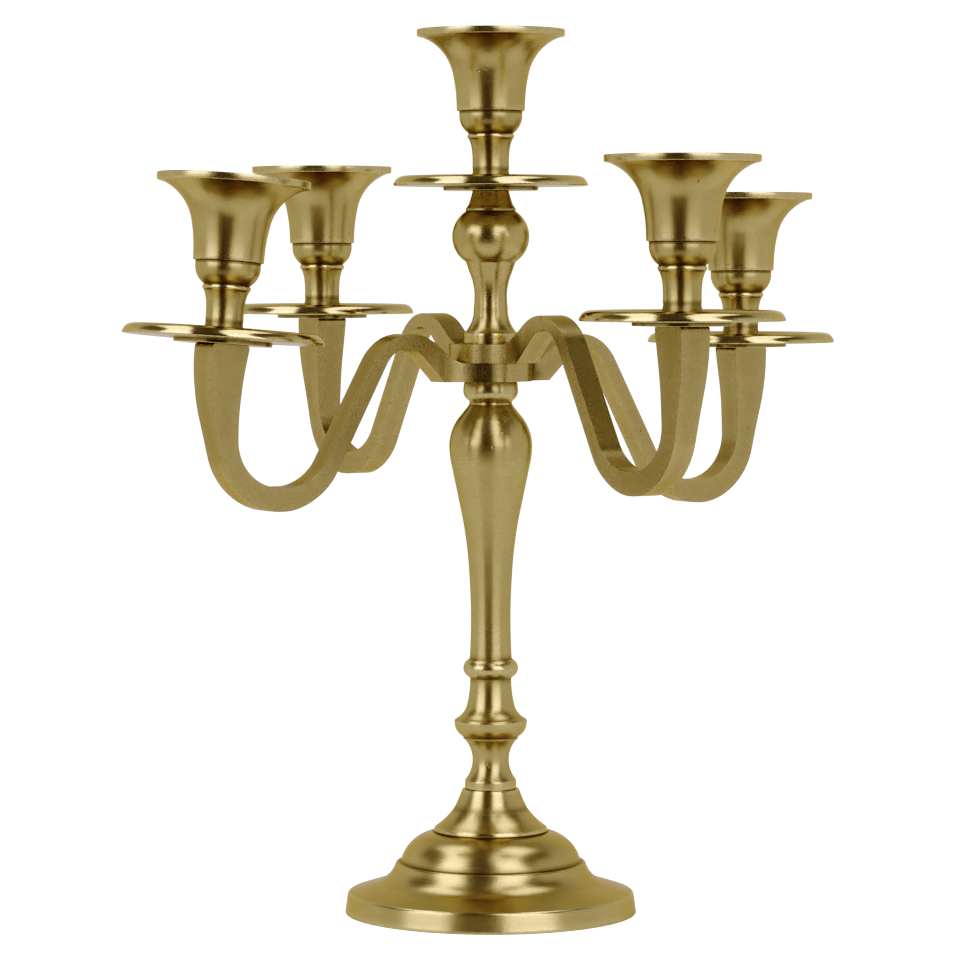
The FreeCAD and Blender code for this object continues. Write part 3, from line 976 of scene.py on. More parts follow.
@dataclass
class Foot:
    """Hollow foot with its washer and bolt, in millimetres.

    The hollow is a run of corners from the top down: distance from the axis, height and rounding.
    """

    top_wall: float = 5.0
    bolt_hole: float = 4.05
    washer_radius: float = 8.2
    washer_thickness: float = 1.6
    bolt_radius: float = 4.0
    bolt_reach: float = 21.6
    head_radius: float = 7.5
    head_height: float = 5.3
    head_round: float = 0.45
    pitch: float = 1.25
    washer_spare: float = 1.5
    steps: int = 160
    washer_steps: int = 48
    hollow: tuple[tuple[float, float, float], ...] = (
        (12.7, 36.0, 0.8),
        (18.7, 30.9, 1.0),
        (29.9, 24.7, 1.5),
        (32.9, 17.5, 1.0),
        (42.2, 9.5, 1.5),
        (53.4, 5.5, 1.0),
        (55.0, 0.0, 0.35),
    )
    outline: tuple[Station, ...] = (
        Station(58.0, 0.0, 0.0, 0.35),
        Station(57.0, 7.4, 1.6, 0.25),
        Station(55.8, 1.1, 0.0, 0.2),
        Station(45.2, 3.4, -12.0, 0.0),
        Station(37.9, 7.8, 0.0, 0.12),
        Station(37.6, 0.4, 0.0, 0.12),
        Station(35.9, 0.4, 15.5, 0.1),
        Station(23.4, 11.7, 0.0, 0.05),
        Station(22.3, 0.1, 0.0, 0.1),
        Station(22.6, 0.5, 0.0, 0.15),
        Station(22.4, 1.2, 0.0, 0.2),
        Station(21.7, 0.5, -30.0, 0.2),
        Station(14.5, 7.3, -60.0, 0.0),
        Station(11.3, 7.6, 0.0, 0.25),
    )

    @property
    def top(self) -> float:
        """Height of the flat top."""
        return sum(station.rise for station in self.outline)

    def build(self, shop: Workshop) -> None:
        """Make the foot, the washer and the bolt.

        Args:
            shop: Workshop that dresses them.
        """
        ceiling = self.top - self.top_wall
        lathe = Lathe(self.outline[0].radius, 0.0, self.outline[0].ease).follow(self.outline)
        lathe.line(self.bolt_hole, self.top, 0.1).line(self.bolt_hole, ceiling, 0.1)
        lathe.line(self.washer_radius + self.washer_spare, ceiling, 0.3)
        for radius, height, ease in self.hollow:
            lathe.line(radius, height, ease)
        foot = lathe.finish(self.steps, closed=True)
        shop.deliver(foot, "base_foot", Seat.at(0.0), FOOT, "brass")

        thickness = self.washer_thickness
        washer = Lathe(self.bolt_hole, 0.0, 0.2).line(self.washer_radius, 0.0, 0.3)
        washer.line(self.washer_radius, thickness, 0.3).line(self.bolt_hole, thickness, 0.2)
        under = Seat.at(ceiling - thickness)
        washer_mesh = washer.finish(self.washer_steps, closed=True)
        shop.deliver(washer_mesh, "base_washer", under, STEEL, "steel")

        bolt = ThreadedRod(self.bolt_radius, 0.0, self.bolt_reach, self.pitch).build()
        head = bmesh.ops.create_cone(
            bolt,
            cap_ends=True,
            segments=6,
            radius1=self.head_radius,
            radius2=self.head_radius,
            depth=self.head_height,
            matrix=Matrix.Translation((0.0, 0.0, -self.head_height / 2)),
        )
        rims = {edge for vert in head["verts"] for edge in vert.link_edges}
        round_off(bolt, list(rims), self.head_round, 3)
        shop.deliver(bolt, "base_bolt", under, STEEL, "steel")


@dataclass
class ThreadedRod:
    """Rod with a rolled thread and chamfered ends, in millimetres.

    Args:
        radius: Outer radius.
        low: Height of its lower end.
        high: Height of its upper end.
        pitch: Distance from one turn of the thread to the next.
        chamfer: Width of the chamfer at both ends.
        thread_depth: Depth of the thread, as a share of its pitch.
        crest_start: Where the flat top of each turn starts, as a share of the pitch.
        crest_end: Where it ends.
        steps: Number of faces round the rod.
    """

    radius: float
    low: float
    high: float
    pitch: float
    chamfer: float = 0.6
    thread_depth: float = 0.5
    crest_start: float = 0.45
    crest_end: float = 0.58
    steps: int = 32

    def build(self) -> Mesh:
        """Turn the rod with a groove for every turn of its thread.

        Returns:
            The rod as a closed mesh.
        """
        root = self.radius - self.pitch * self.thread_depth
        lathe = Lathe(0.0, self.low).line(self.radius - self.chamfer, self.low, 0.1)
        height = self.low + self.chamfer
        while height + self.pitch < self.high - self.chamfer:
            lathe.line(root, height).line(self.radius, height + self.pitch * self.crest_start)
            lathe.line(self.radius, height + self.pitch * self.crest_end)
            height += self.pitch
        lathe.line(root, height).line(self.radius - self.chamfer, self.high, 0.1)
        return lathe.line(0.0, self.high).finish(self.steps)


@dataclass
class TurnedPart:
    """A turned piece with a bore up its axis at each end, in millimetres.

    Args:
        node: CAD node that it stands for.
        outline: Stations from the lower end up.
        bore: Radius of the bores.
        lower_depth: Depth of the lower bore, or None for a bore right through.
        upper_depth: Depth of the upper bore.
        finish: Finish of the surface.
        steps: Number of faces round the piece.
    """

    node: str
    outline: tuple[Station, ...]
    bore: float
    lower_depth: float | None = None
    upper_depth: float = 0.0
    finish: MetalFinish = TURNED
    steps: int = 96

    @property
    def height(self) -> float:
        """Height from the lower to the upper end."""
        return sum(station.rise for station in self.outline)

    def _started(self) -> Lathe:
        """Start the outline at the lower bore.

        Returns:
            The lathe, standing at the first station.
        """
        first = self.outline[0]
        if self.lower_depth is None:
            return Lathe(self.bore, 0.0, 0.1).line(first.radius, 0.0, first.ease)
        lathe = Lathe(0.0, self.lower_depth).line(self.bore, self.lower_depth)
        return lathe.line(self.bore, 0.0, 0.1).line(first.radius, 0.0, first.ease)

    def mesh(self) -> Mesh:
        """Turn the piece.

        Returns:
            The closed piece in its own frame.
        """
        lathe = self._started().follow(self.outline)
        if self.lower_depth is None:
            lathe.line(self.bore, self.height, 0.1)
            return lathe.finish(self.steps, closed=True)
        lathe.line(self.bore, self.height, 0.1).line(self.bore, self.height - self.upper_depth)
        return lathe.line(0.0, self.height - self.upper_depth).finish(self.steps)

    def build(self, shop: Workshop, seat: Seat) -> None:
        """Turn the piece and set it on its seat."""
        shop.deliver(self.mesh(), self.node, seat, self.finish, "brass")


@dataclass
class DripPan(TurnedPart):
    """Shallow drip pan with a rounded rim, in millimetres."""

    bore: float = 3.05
    dish_radius: float = 27.5
    dish_depth: float = 1.7
    dish_round: float = 16.0
    finish: MetalFinish = POLISHED
    steps: int = 144
    outline: tuple[Station, ...] = (
        Station(18.8, 0.0, 0.0, 0.25),
        Station(18.8, 1.4, 0.0, 0.2),
        Station(37.9, 0.4, 0.6, 0.0),
        Station(38.5, 0.5, 5.0, 0.0),
        Station(36.9, 2.7, 5.0, 0.0),
        Station(33.8, 0.9, 0.0, 0.0),
    )

    @property
    def floor(self) -> float:
        """Height of the floor of the dish."""
        return self.height - self.dish_depth

    def mesh(self) -> Mesh:
        """Turn the pan.

        Returns:
            The closed pan in its own frame.
        """
        lathe = self._started().follow(self.outline)
        lathe.arc(self.dish_radius, self.floor, self.dish_round, 0.6)
        return lathe.line(self.bore, self.floor, 0.1).finish(self.steps, closed=True)


@dataclass
class CandleCup(TurnedPart):
    """Candle cup: neck, bead, bulb and a flared bell round the socket, in millimetres."""

    bore: float = 3.05
    lower_depth: float | None = 8.0
    socket_radius: float = 11.25
    socket_floor: float = 27.5
    socket_straight: float = 15.5
    flare: float = 15.2
    mouth_radius: float = 27.0
    finish: MetalFinish = CUP
    steps: int = 112
    outline: tuple[Station, ...] = (
        Station(8.4, 0.0, 0.0, 0.15),
        Station(8.2, 0.9, -4.5, 0.1),
        Station(7.3, 4.0, -40.0, 0.0),
        Station(7.5, 6.8, -14.0, 0.0),
        Station(8.6, 4.2, 0.0, 0.1),
        Station(9.0, 0.5, 1.2, 0.1),
        Station(9.0, 1.6, 0.0, 0.1),
        Station(8.8, 0.3, 8.6, 0.08),
        Station(12.5, 7.7, 0.0, 0.1),
        Station(12.5, 1.0, 0.0, 0.06),
        Station(13.5, 0.3, 0.0, 0.15),
        Station(13.6, 3.2, -60.0, 0.0),
        Station(14.9, 10.6, -19.5, 0.0),
        Station(26.9, 14.9, 0.0, 0.15),
        Station(29.2, 0.5, 0.0, 0.35),
        Station(29.3, 2.7, 0.0, 0.4),
    )

    def mesh(self) -> Mesh:
        """Turn the cup.

        Returns:
            The closed cup in its own frame.
        """
        lathe = self._started().follow(self.outline)
        lathe.line(self.mouth_radius, self.height, 0.35)
        lathe.arc(self.socket_radius, self.socket_floor + self.socket_straight, self.flare, 0.4)
        lathe.line(self.socket_radius, self.socket_floor, 0.5).line(0.0, self.socket_floor)
        return lathe.finish(self.steps)


@dataclass
class Light:
    """One light: its drip pan, its candle cup and the rod that holds them on their seat.

    Args:
        name: Name of the light, as its nodes end.
        seat: Where the pan stands.
    """

    name: str
    seat: Seat
    rod_radius: float = 3.0
    rod_below: float = 9.0
    rod_above: float = 7.0
    pitch: float = 1.0

    def build(self, shop: Workshop) -> None:
        """Make the three pieces.

        Args:
            shop: Workshop that dresses them.
        """
        pan = DripPan(f"drip_pan_{self.name}")
        pan.build(shop, self.seat)
        CandleCup(f"candle_cup_{self.name}").build(shop, self.seat.lifted(pan.floor))
        rod = ThreadedRod(self.rod_radius, -self.rod_below, pan.floor + self.rod_above, self.pitch)
        shop.deliver(rod.build(), f"cup_stud_{self.name}", self.seat, STEEL, "steel")


@dataclass(frozen=True)
class ArmSetting:
    """How one arm was set by hand.

    Args:
        sag: How far its seat hangs down, in millimetres.
        lean: How far its end leans inward, in degrees.
        pivot_drop: How far below the bar's underside the end bends.
        blend: Radius of the hollow between the hub and this arm, in millimetres.
    """

    sag: float = 0.0
    lean: float = 0.0
    pivot_drop: float = 8.0
    blend: float = 2.5


@dataclass(frozen=True)
class Bend:
    """Corner of an arm's side view, in millimetres.

    Args:
        reach: Distance from the stem's axis.
        rise: Height above the underside of the bar at the hub.
        rounding: Radius of the bend there.
    """

    reach: float
    rise: float
    rounding: float = 0.0


@dataclass
class ArmPair:
    """Two arms bent from one flat bar, with a round hub between them, in millimetres.

    Args:
        node: CAD node that it stands for.
        plus: Setting of the arm on the positive side.
        minus: Setting of the arm on the negative side.
        turn: Turn of the bar about the stem, in degrees.
        reach: Distance of the seats from the stem.
        waist_half: Half of the bar's width where it is narrowest.
        end_half: Half of its width at the seats.
        end_depth_half: Half of its depth there.
        waist_reach: Distance from the stem where the bar starts to widen.
        taper_low: Height where it starts to widen, from the bar's underside at the hub.
        taper_high: Height where it is at its widest.
        cell: Length of one face.
        snap: How near to a cut a point is taken into it.
        side_cuts: Cuts along the bar, as shares of half of its width.
        hub_cuts: How far the finer faces round the hub reach, in hub radii.
        flat_weight: How strongly the large faces set the normals.
        side_spread: How far the file marks on the two sides are set apart.
        centre_line: Middle of the bar, as reach and height, that the file marks run along.
        under: Bends of the underside, from the hub to the end.
        over: Bends of the upper side, from the end to the hub.
    """

    node: str
    plus: ArmSetting
    minus: ArmSetting
    turn: float
    reach: float = 125.2
    thickness: float = 7.4
    hub_radius: float = 16.5
    waist_half: float = 5.0
    end_half: float = 6.8
    end_depth_half: float = 8.2
    waist_reach: float = 98.0
    taper_low: float = -32.0
    taper_high: float = 18.0
    seat_rise: float = 16.1
    end_round: float = 1.2
    edge_round: float = 0.55
    edge_angle: float = 48.0
    cell: float = 2.4
    snap: float = 0.45
    side_cuts: tuple[float, ...] = (-0.62, -0.2, 0.2, 0.62)
    bend_step: float = 1.6
    hub_steps: int = 16
    hub_cuts: float = 1.85
    flat_weight: int = 90
    side_spread: float = 1.3
    centre_line: tuple[tuple[float, float], ...] = (
        (0.0, 3.7),
        (22.0, 3.7),
        (45.6, 24.6),
        (84.0, -43.5),
        (121.0, -43.5),
        (126.0, 0.0),
        (125.2, 30.0),
    )
    under: tuple[Bend, ...] = (
        Bend(45.1, 20.1, 11.0),
        Bend(83.0, -48.2, 27.0),
        Bend(122.4, -48.2, 27.0),
        Bend(133.4, 1.0, 72.0),
    )
    over: tuple[Bend, ...] = (
        Bend(119.4, -4.0, 105.0),
        Bend(119.4, -38.8, 18.5),
        Bend(85.0, -38.8, 18.5),
        Bend(46.2, 29.2, 20.0),
    )

    def _drop(self, setting: ArmSetting, reach: float) -> float:
        """Sag of one arm at a distance from the stem."""
        return setting.sag * (reach - self.hub_radius) / (self.reach - self.hub_radius)

    def _leaned(self, setting: ArmSetting, reach: float, rise: float) -> tuple[float, float]:
        """A point of an arm's end after it has leaned.

        Args:
            setting: Setting of the arm.
            reach: Distance from the stem's axis.
            rise: Height above the bar's underside.

        Returns:
            The point's reach and rise.
        """
        angle = math.radians(setting.lean)
        pivot = Vector((self.reach, -setting.pivot_drop if setting.lean else 0.0))
        across, up = Vector((reach, rise)) - pivot
        cosine, sine = math.cos(angle), math.sin(angle)
        moved = pivot + Vector((across * cosine - up * sine, across * sine + up * cosine))
        return moved.x, moved.y - setting.sag

    def seat(self, setting: ArmSetting, sign: int, foot: float) -> Seat:
        """Seat at the end of one arm.

        Args:
            setting: Setting of the arm.
            sign: 1 for the positive side of the bar, -1 for the other.
            foot: Height of the bar's underside.

        Returns:
            The seat, in the candelabra's frame.
        """
        reach, rise = self._leaned(setting, self.reach, self.seat_rise)
        round_stem = Matrix.Rotation(math.radians(self.turn), 3, "Z")
        return Seat(round_stem @ Vector((sign * reach, 0.0, foot + rise)), -sign * setting.lean)

    def _side_view(self, setting: ArmSetting) -> list[Bend]:
        """Corners of one arm, from under the hub, round its end, to the top of the hub.

        Args:
            setting: Setting of the arm.

        Returns:
            The corners in order.
        """
        outer, inner = (
            self._leaned(setting, self.reach + side * self.end_depth_half, self.seat_rise)
            for side in (1, -1)
        )

        def hung(bends: Iterable[Bend]) -> list[Bend]:
            """Let bends hang down with the arm.

            Args:
                bends: Bends of the casting before it was set.

            Returns:
                The bends where they hang.
            """
            return [
                Bend(bend.reach, bend.rise - self._drop(setting, bend.reach), bend.rounding)
                for bend in bends
            ]

        return [
            Bend(25.0, 0.0),
            *hung(self.under),
            Bend(*outer, self.end_round),
            Bend(*inner, self.end_round),
            *hung(self.over),
            Bend(19.5, self.thickness, 6.0),
        ]

    def _slab(self) -> Mesh:
        """Cut the side view of both arms from a slab.

        Returns:
            The slab, as wide as the ends of the arms all along.
        """
        right = self._side_view(self.plus)
        left = [
            Bend(-bend.reach, bend.rise, bend.rounding)
            for bend in reversed(self._side_view(self.minus))
        ]
        bends = right + left
        mesh = bmesh.new()
        corners = [mesh.verts.new((bend.reach, -self.end_half, bend.rise)) for bend in bends]
        mesh.faces.new(corners)
        for index, bend in enumerate(bends):
            if not bend.rounding:
                continue
            before, after = bends[index - 1], bends[(index + 1) % len(bends)]
            back = Vector((before.reach - bend.reach, before.rise - bend.rise))
            ahead = Vector((after.reach - bend.reach, after.rise - bend.rise))
            half_angle = back.angle(ahead) / 2
            sweep = math.pi - 2 * half_angle
            steps = max(3, math.ceil(bend.rounding * sweep / self.bend_step))
            back_off = bend.rounding / math.tan(half_angle)
            round_off(mesh, [corners[index]], back_off, steps, "VERTICES")
        made = bmesh.ops.extrude_face_region(mesh, geom=list(mesh.faces))
        lifted = [item for item in made["geom"] if isinstance(item, bmesh.types.BMVert)]
        bmesh.ops.translate(mesh, verts=lifted, vec=(0.0, 2 * self.end_half, 0.0))
        bmesh.ops.recalc_face_normals(mesh, faces=list(mesh.faces))
        return mesh

    def _blend(self, distance: float, radius: float) -> float:
        """Half width of the hollow blend between the round hub and the bar.

        Args:
            distance: Distance from the stem's axis.
            radius: Radius of the hollow.

        Returns:
            The half width, or nothing where the distance is clear of the blend.
        """
        end = math.sqrt((self.hub_radius + radius) ** 2 - (self.waist_half + radius) ** 2)
        start = end * self.hub_radius / (self.hub_radius + radius)
        if not start < distance < end:
            return 0.0
        return self.waist_half + radius - math.sqrt(radius**2 - (end - distance) ** 2)

    def _half_width(self, across: float, up: float) -> float:
        """Half of the bar's width at a place of its side view.

        Args:
            across: Signed distance from the stem's axis.
            up: Height above the bar's underside.

        Returns:
            The half width.
        """
        distance = abs(across)
        round_half = math.sqrt(max(self.hub_radius**2 - distance**2, 0.0))
        if distance > self.waist_reach:
            share = (up - self.taper_low) / (self.taper_high - self.taper_low)
            share = min(max(share, 0.0), 1.0)
            widening = share * share * (3 - 2 * share)
            return self.waist_half + (self.end_half - self.waist_half) * widening
        setting = self.plus if across > 0 else self.minus
        return max(self.waist_half, round_half, self._blend(distance, setting.blend))

    def mesh(self) -> Mesh:
        """Cut, file and round the arm pair.

        Returns:
            The closed piece, with its lengthwise grain in "along".
        """
        mesh = self._slab()
        lows = [min(vert.co[axis] for vert in mesh.verts) for axis in range(3)]
        highs = [max(vert.co[axis] for vert in mesh.verts) for axis in range(3)]
        cuts: list[tuple[int, float]] = []
        for axis in (0, 2):
            count = int((highs[axis] - lows[axis]) / self.cell)
            cuts += [(axis, lows[axis] + self.cell * (step + 0.5)) for step in range(count)]
        joint = math.acos(self.waist_half / self.hub_radius)
        for step in range(-self.hub_steps, self.hub_steps + 1):
            share = math.sin(joint * step / self.hub_steps)
            cuts.append((0, self.hub_cuts * self.hub_radius * share))
        cuts += [(1, share * self.end_half) for share in self.side_cuts]
        cuts.append((2, self.taper_low))
        for axis, place in cuts:
            normal = Vector((0.0, 0.0, 0.0))
            normal[axis] = 1.0
            bmesh.ops.bisect_plane(
                mesh,
                geom=[*mesh.verts, *mesh.edges, *mesh.faces],
                dist=self.snap,
                plane_co=normal * place,
                plane_no=normal,
            )
        for vert in mesh.verts:
            vert.co.y *= self._half_width(vert.co.x, vert.co.z) / self.end_half
        mesh.normal_update()
        sharp = math.radians(self.edge_angle)
        rims = [edge for edge in mesh.edges if edge.is_manifold and edge.calc_face_angle() > sharp]
        round_off(mesh, rims, self.edge_round, 3)
        self._grain(mesh)
        return mesh

    def _grain(self, mesh: Mesh) -> None:
        """Write the distance across the bar, in metres, so that file marks can run along it.

        Args:
            mesh: The shaped arm pair.
        """
        layer = mesh.verts.layers.float.new("along")
        middle = [Vector(point) for point in self.centre_line]
        for vert in mesh.verts:
            place = Vector((abs(vert.co.x), vert.co.z))
            nearest = math.inf
            for start, end in zip(middle, middle[1:]):
                side = end - start
                share = min(max((place - start).dot(side) / side.length_squared, 0.0), 1.0)
                nearest = min(nearest, (place - start - side * share).length)
            vert[layer] = (nearest + vert.co.y * self.side_spread) * MM

    def build(self, shop: Workshop, foot: float) -> None:
        """Make the arm pair.

        Args:
            shop: Workshop that dresses it.
            foot: Height of its underside.
        """
        mesh = self.mesh()
        round_stem = Matrix.Rotation(math.radians(self.turn), 3, "Z")
        bmesh.ops.rotate(mesh, verts=list(mesh.verts), matrix=round_stem)
        piece = shop.deliver(mesh, self.node, Seat(Vector((0.0, 0.0, foot))), FILED, "brass")
        flats = piece.modifiers.new("flat_faces", "WEIGHTED_NORMAL")
        flats.mode = "FACE_AREA"
        flats.weight = self.flat_weight


STEM_OUTLINE = (
    Station(10.3, 0.0, 0.0, 0.2),
    Station(10.3, 3.3, 0.0, 0.25),
    Station(9.6, 1.0, -12.3, 0.2),
    Station(10.2, 15.1, 0.0, 0.12),
    Station(10.9, 0.5, 0.0, 0.12),
    Station(11.0, 0.9, 6.2, 0.1),
    Station(14.4, 5.4, 0.0, 0.15),
    Station(14.5, 1.0, 0.0, 0.2),
    Station(14.0, 0.6, -8.5, 0.2),
    Station(9.3, 6.2, -45.0, 0.0),
    Station(8.2, 10.0, 0.0, 0.1),
    Station(8.8, 0.6, 3.9, 0.1),
    Station(8.9, 6.9, 0.0, 0.1),
    Station(8.4, 0.4, -260.0, 0.1),
    Station(8.6, 34.2, -165.0, 0.0),
    Station(12.0, 25.4, 0.0, 0.0),
    Station(15.3, 15.9, 40.0, 0.0),
    Station(16.5, 8.8, 19.0, 0.0),
    Station(12.3, 11.9, 0.0, 0.1),
    Station(8.6, 4.6, 0.0, 0.2),
    Station(8.5, 1.0, 0.0, 0.1),
)
BEAD_OUTLINE = (
    Station(8.3, 0.0, 0.0, 0.1),
    Station(8.9, 0.7, 4.6, 0.1),
    Station(10.9, 4.6, 12.0, 0.0),
    Station(10.5, 2.6, 0.0, 0.15),
    Station(10.1, 0.4, 0.0, 0.1),
)
COLUMN_OUTLINE = (
    Station(10.9, 0.0, 0.0, 0.2),
    Station(10.8, 4.2, 0.0, 0.2),
    Station(10.4, 0.2, -13.0, 0.08),
    Station(6.8, 9.6, -40.0, 0.0),
    Station(6.5, 6.0, -24.0, 0.0),
    Station(8.5, 8.3, 0.0, 0.0),
    Station(9.8, 3.8, 0.0, 0.12),
    Station(10.3, 0.5, 11.95, 0.1),
    Station(10.2, 19.5, 0.0, 0.08),
    Station(9.8, 0.2, 1.1, 0.08),
    Station(9.6, 1.5, 0.0, 0.1),
    Station(8.9, 0.9, -40.0, 0.1),
    Station(7.2, 5.7, 0.0, 0.15),
)


@dataclass
class Candelabra:
    """The whole object, built from the foot up.

    Args:
        shop: Workshop that dresses the pieces.
    """

    shop: Workshop
    foot: Foot = field(default_factory=Foot)
    hub_rod_radius: float = 4.0
    hub_bore: float = 4.05
    hub_rod_in_stem: float = 18.0
    hub_rod_in_column: float = 11.0
    hub_pitch: float = 1.25
    spare: float = 1.0
    bolt_bore: float = 16.0
    light_bore: float = 10.0
    front_blend: float = 24.0

    def build(self) -> None:
        """Make every piece in its place."""
        shop = self.shop
        self.foot.build(shop)
        stem_bore = self.hub_rod_in_stem + self.spare
        column_bore = self.hub_rod_in_column + self.spare
        stem = TurnedPart("stem", STEM_OUTLINE, self.hub_bore, self.bolt_bore, stem_bore)
        bead = TurnedPart("hub_bead", BEAD_OUTLINE, self.hub_bore)
        column = TurnedPart(
            "center_column", COLUMN_OUTLINE, self.hub_bore, column_bore, self.light_bore
        )
        back, front = ArmSetting(), ArmSetting(blend=self.front_blend)
        sagging = ArmSetting(sag=4.0)
        leaning = ArmSetting(lean=4.8, blend=self.front_blend)
        lower = ArmPair("lower_arm_pair", sagging, leaning, 0.0)
        upper = ArmPair("upper_arm_pair", back, front, 90.0)

        stem_foot = self.foot.top
        bead_foot = stem_foot + stem.height
        lower_foot = bead_foot + bead.height
        upper_foot = lower_foot + lower.thickness
        column_foot = upper_foot + upper.thickness
        stem.build(shop, Seat.at(stem_foot))
        bead.build(shop, Seat.at(bead_foot))
        lower.build(shop, lower_foot)
        upper.build(shop, upper_foot)
        column.build(shop, Seat.at(column_foot))
        rod_top = column_foot - bead_foot + self.hub_rod_in_column
        rod = ThreadedRod(self.hub_rod_radius, -self.hub_rod_in_stem, rod_top, self.hub_pitch)
        shop.deliver(rod.build(), "hub_stud", Seat.at(bead_foot), STEEL, "steel")

        for name, seat in (
            ("center", Seat.at(column_foot + column.height)),
            ("back_right", lower.seat(lower.plus, 1, lower_foot)),
            ("front_left", lower.seat(lower.minus, -1, lower_foot)),
            ("back_left", upper.seat(upper.plus, 1, upper_foot)),
            ("front_right", upper.seat(upper.minus, -1, upper_foot)),
        ):
            Light(name, seat).build(shop)


# ------------------------------------------------------------ studio


@dataclass(frozen=True)
class Panel:
    """A tall soft panel of light that leans over the object, with its angles in degrees.

    Args:
        start: Left end, measured sideways from the middle of the gap; positive is to the right.
        end: Right end.
        low: Lower end, measured up from the horizon in front.
        high: Upper end, measured the same way over the top.
        glow: Brightness added to the wall.
    """

    start: float
    end: float
    low: float
    high: float
    glow: float


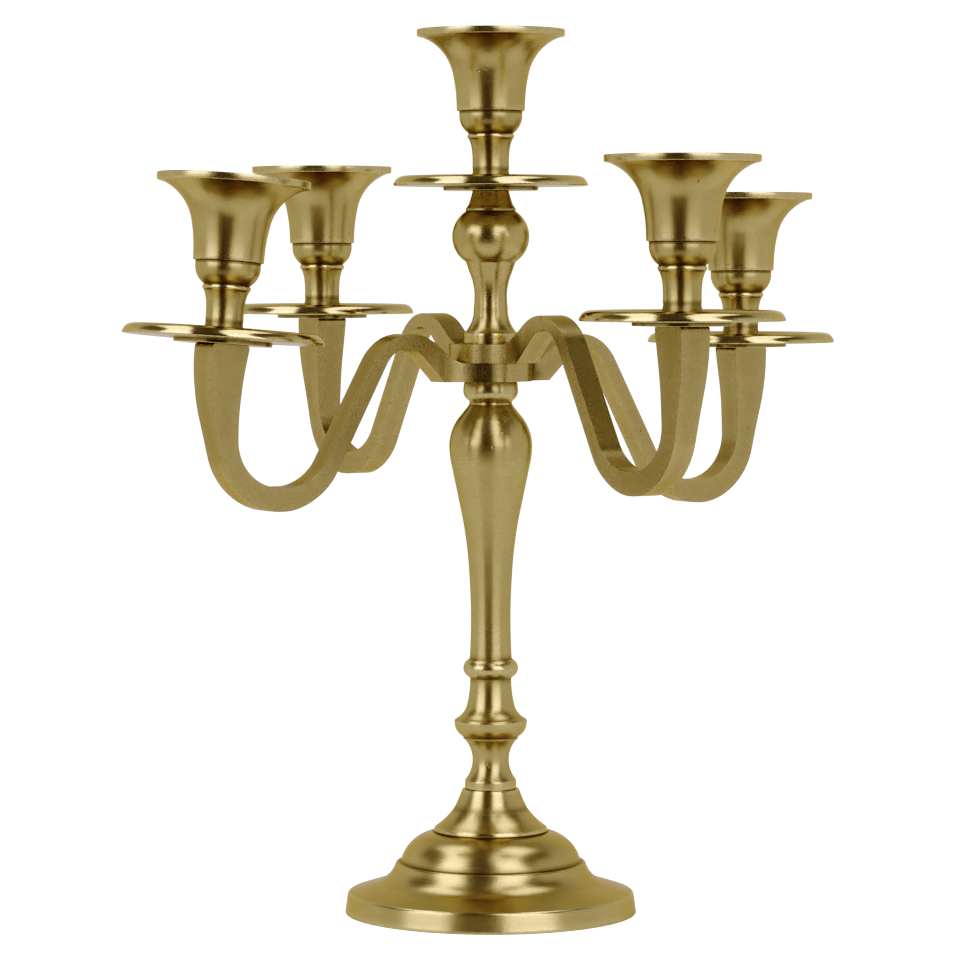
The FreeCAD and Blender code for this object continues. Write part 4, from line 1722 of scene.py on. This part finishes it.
@dataclass
class Studio:
    """Pale floor, light tent with its panels, and the camera.

    Args:
        camera_azimuth: Direction of the camera round the stem, in degrees.
        camera_distance: Distance of the camera from the stem, in metres.
        camera_height: Height of the camera, in metres.
        camera_pitch: How far the camera looks down, in degrees.
        camera_yaw: How far the camera turns to its left, in degrees.
        focal_length: Focal length of the lens, in millimetres.
        table_radius: Radius of the pale floor, in metres.
        gap_azimuth: Middle of the dark gap behind the camera, in degrees from the camera.
        gap_half: Half of its width, in degrees.
        gap_glow: Brightness inside the gap.
        overhead: Share of their width that the panels and the gap keep overhead.
        overhead_shift: How far they have moved to the left overhead, in degrees.
        panels: Soft panels either side of the gap.
        paper: Colour of the floor.
        floor_glow: Brightness that makes the floor run on into the backdrop.
        backdrop: Brightness of the white behind the object.
        white_level: Brightness that is shown as white.
        tone_curve: Brightness, as a share of white, and the brightness shown for it.
    """

    camera_azimuth: float = -34.5
    camera_distance: float = 1.6233
    camera_height: float = 0.26024
    camera_pitch: float = 3.105
    camera_yaw: float = 0.15
    focal_length: float = 153.8
    table_radius: float = 0.55
    gap_azimuth: float = -12.0
    gap_half: float = 26.0
    gap_glow: float = 0.10
    overhead: float = 0.53
    overhead_shift: float = 5.5
    panels: tuple[Panel, ...] = (
        Panel(-60.0, -18.0, 0.0, 118.0, 2.0),
        Panel(20.0, 66.0, 0.0, 118.0, 2.0),
    )
    paper: Colour = (0.86, 0.86, 0.85)
    floor_glow: float = 1.35
    backdrop: float = 1.6
    white_level: float = 1.6
    tone_curve: tuple[tuple[float, float], ...] = (
        (0.031, 0.011),
        (0.061, 0.058),
        (0.122, 0.181),
        (0.244, 0.39),
        (0.49, 0.70),
        (0.75, 0.93),
    )

    def build(self) -> None:
        """Set up the whole studio."""
        self._floor()
        self._tent()
        self._camera()
        self._tone()

    def _floor(self) -> None:
        """Lay a round pale table under the foot, which runs on into the white of the tent."""
        mesh = bmesh.new()
        bmesh.ops.create_circle(mesh, cap_ends=True, segments=96, radius=self.table_radius)
        material = bpy.data.materials.new("floor_white")
        graph = repainted(material)
        seen = graph.node("ShaderNodeLightPath").outputs["Is Camera Ray"]
        paper = graph.node("ShaderNodeBsdfDiffuse")
        paper.inputs["Color"].default_value = (*self.paper, 1.0)
        glow = graph.node("ShaderNodeEmission")
        graph.link(graph.times(seen, self.floor_glow), glow.inputs["Strength"])
        both = graph.node("ShaderNodeAddShader")
        graph.link(paper.outputs[0], both.inputs[0])
        graph.link(glow.outputs[0], both.inputs[1])
        output = graph.node("ShaderNodeOutputMaterial")
        graph.link(both.outputs[0], output.inputs["Surface"])
        placed(mesh, "floor", material)

    def _tent(self) -> None:
        """Light tent of grey-white walls and tall panels, with a dark gap between them."""
        world = bpy.data.worlds.new("tent")
        bpy.context.scene.world = world
        graph = repainted(world)
        direction = graph.node("ShaderNodeTexCoord").outputs["Generated"]
        turn = graph.node("ShaderNodeVectorRotate", rotation_type="Z_AXIS")
        graph.link(direction, turn.inputs["Vector"])
        turn.inputs["Angle"].default_value = -math.radians(self.camera_azimuth + self.gap_azimuth)
        split = graph.node("ShaderNodeSeparateXYZ")
        graph.link(turn.outputs[0], split.inputs[0])

        def ramp(
            angle: Socket, start: float, end: float, at_start: float = 0.0, at_end: float = 1.0
        ) -> Socket:
            """Change smoothly between two angles, given in degrees."""
            return graph.spread(angle, math.radians(start), math.radians(end), at_start, at_end)

        def window(angle: Socket, start: float, end: float, soft: float) -> Socket:
            """Mask of the angles between two limits, given in degrees."""
            rise, fall = ramp(angle, start, start + soft), ramp(angle, end - soft, end, 1.0, 0.0)
            return graph.times(rise, fall)

        up = graph.math("ARCSINE", split.outputs[2])
        over = graph.math("ARCTAN2", split.outputs[2], graph.times(split.outputs[1], -1.0))
        narrowing = ramp(over, 15.0, 85.0, 1.0, self.overhead)
        shift = ramp(over, 15.0, 75.0, 0.0, math.radians(self.overhead_shift))
        sideways = graph.plus(graph.math("ARCSINE", split.outputs[0]), shift)
        side = graph.math("DIVIDE", sideways, narrowing)

        walls = ramp(up, 16.0, 40.0, 0.70, 0.56)
        ceiling = ramp(up, 34.0, 66.0, 1.0, 0.33)
        below = ramp(up, -60.0, -10.0, 0.55, 1.0)
        seams = graph.plus(window(side, 62.0, 112.0, 16.0), window(side, -118.0, -56.0, 16.0))
        depth = ramp(up, 10.0, 34.0, 0.1, 0.62)
        seams = graph.times(seams, window(over, -20.0, 130.0, 20.0), depth)
        level = graph.times(walls, ceiling, below, graph.minus(1.0, seams))
        gap = graph.times(
            window(side, -self.gap_half, self.gap_half, 5.0), window(over, -90.0, 120.0, 20.0)
        )
        shade = graph.times(ramp(up, 10.0, 50.0, 1.0, 1.5), self.gap_glow)
        level = graph.plus(level, graph.times(gap, graph.minus(shade, level)))
        for panel in self.panels:
            across = window(side, panel.start, panel.end, 4.0)
            shape = graph.times(across, window(over, panel.low, panel.high, 12.0))
            level = graph.plus(level, graph.times(shape, panel.glow))
        seen = graph.node("ShaderNodeLightPath").outputs["Is Camera Ray"]
        strength = graph.node("ShaderNodeMix", data_type="FLOAT")
        for index, value in ((0, seen), (2, level), (3, self.backdrop)):
            graph.feed(strength.inputs[index], value)
        background = graph.node("ShaderNodeBackground")
        background.inputs["Color"].default_value = (1.0, 1.0, 1.0, 1.0)
        graph.link(strength.outputs[0], background.inputs["Strength"])
        output = graph.node("ShaderNodeOutputWorld")
        graph.link(background.outputs[0], output.inputs["Surface"])

    def _camera(self) -> None:
        """Set the camera at table height, looking a little down."""
        data = bpy.data.cameras.new("camera")
        data.lens = self.focal_length
        data.sensor_width = 36.0
        data.clip_start, data.clip_end = 0.01, 50.0
        camera = bpy.data.objects.new("camera", data)
        angle, distance = math.radians(self.camera_azimuth), self.camera_distance
        camera.location = (
            math.sin(angle) * distance,
            -math.cos(angle) * distance,
            self.camera_height,
        )
        turn = math.radians(self.camera_azimuth + self.camera_yaw)
        camera.rotation_euler = (math.radians(90.0 - self.camera_pitch), 0.0, turn)
        bpy.context.collection.objects.link(camera)
        bpy.context.scene.camera = camera

    def _tone(self) -> None:
        """Set an even contrast of tones, with deep shades and soft highlights."""
        view = bpy.context.scene.view_settings
        view.view_transform = "Standard"
        view.look = "None"
        view.use_curve_mapping = True
        mapping = view.curve_mapping
        mapping.white_level = (self.white_level,) * 3
        combined = mapping.curves[3]
        for given, shown in self.tone_curve:
            combined.points.new(given, shown)
        mapping.update()


def main() -> None:
    """Load the frame and build the candelabra and the studio."""
    logging.basicConfig(level=logging.INFO, format="%(name)s %(message)s")
    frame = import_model()
    bodies = frame["record"]["behaviour"]["bodies"]
    body_of_node = {node: body for body, nodes in bodies.items() for node in nodes}
    Candelabra(Workshop(Effects(), body_of_node)).build()
    Studio().build()


if __name__ == "__main__":
    main()
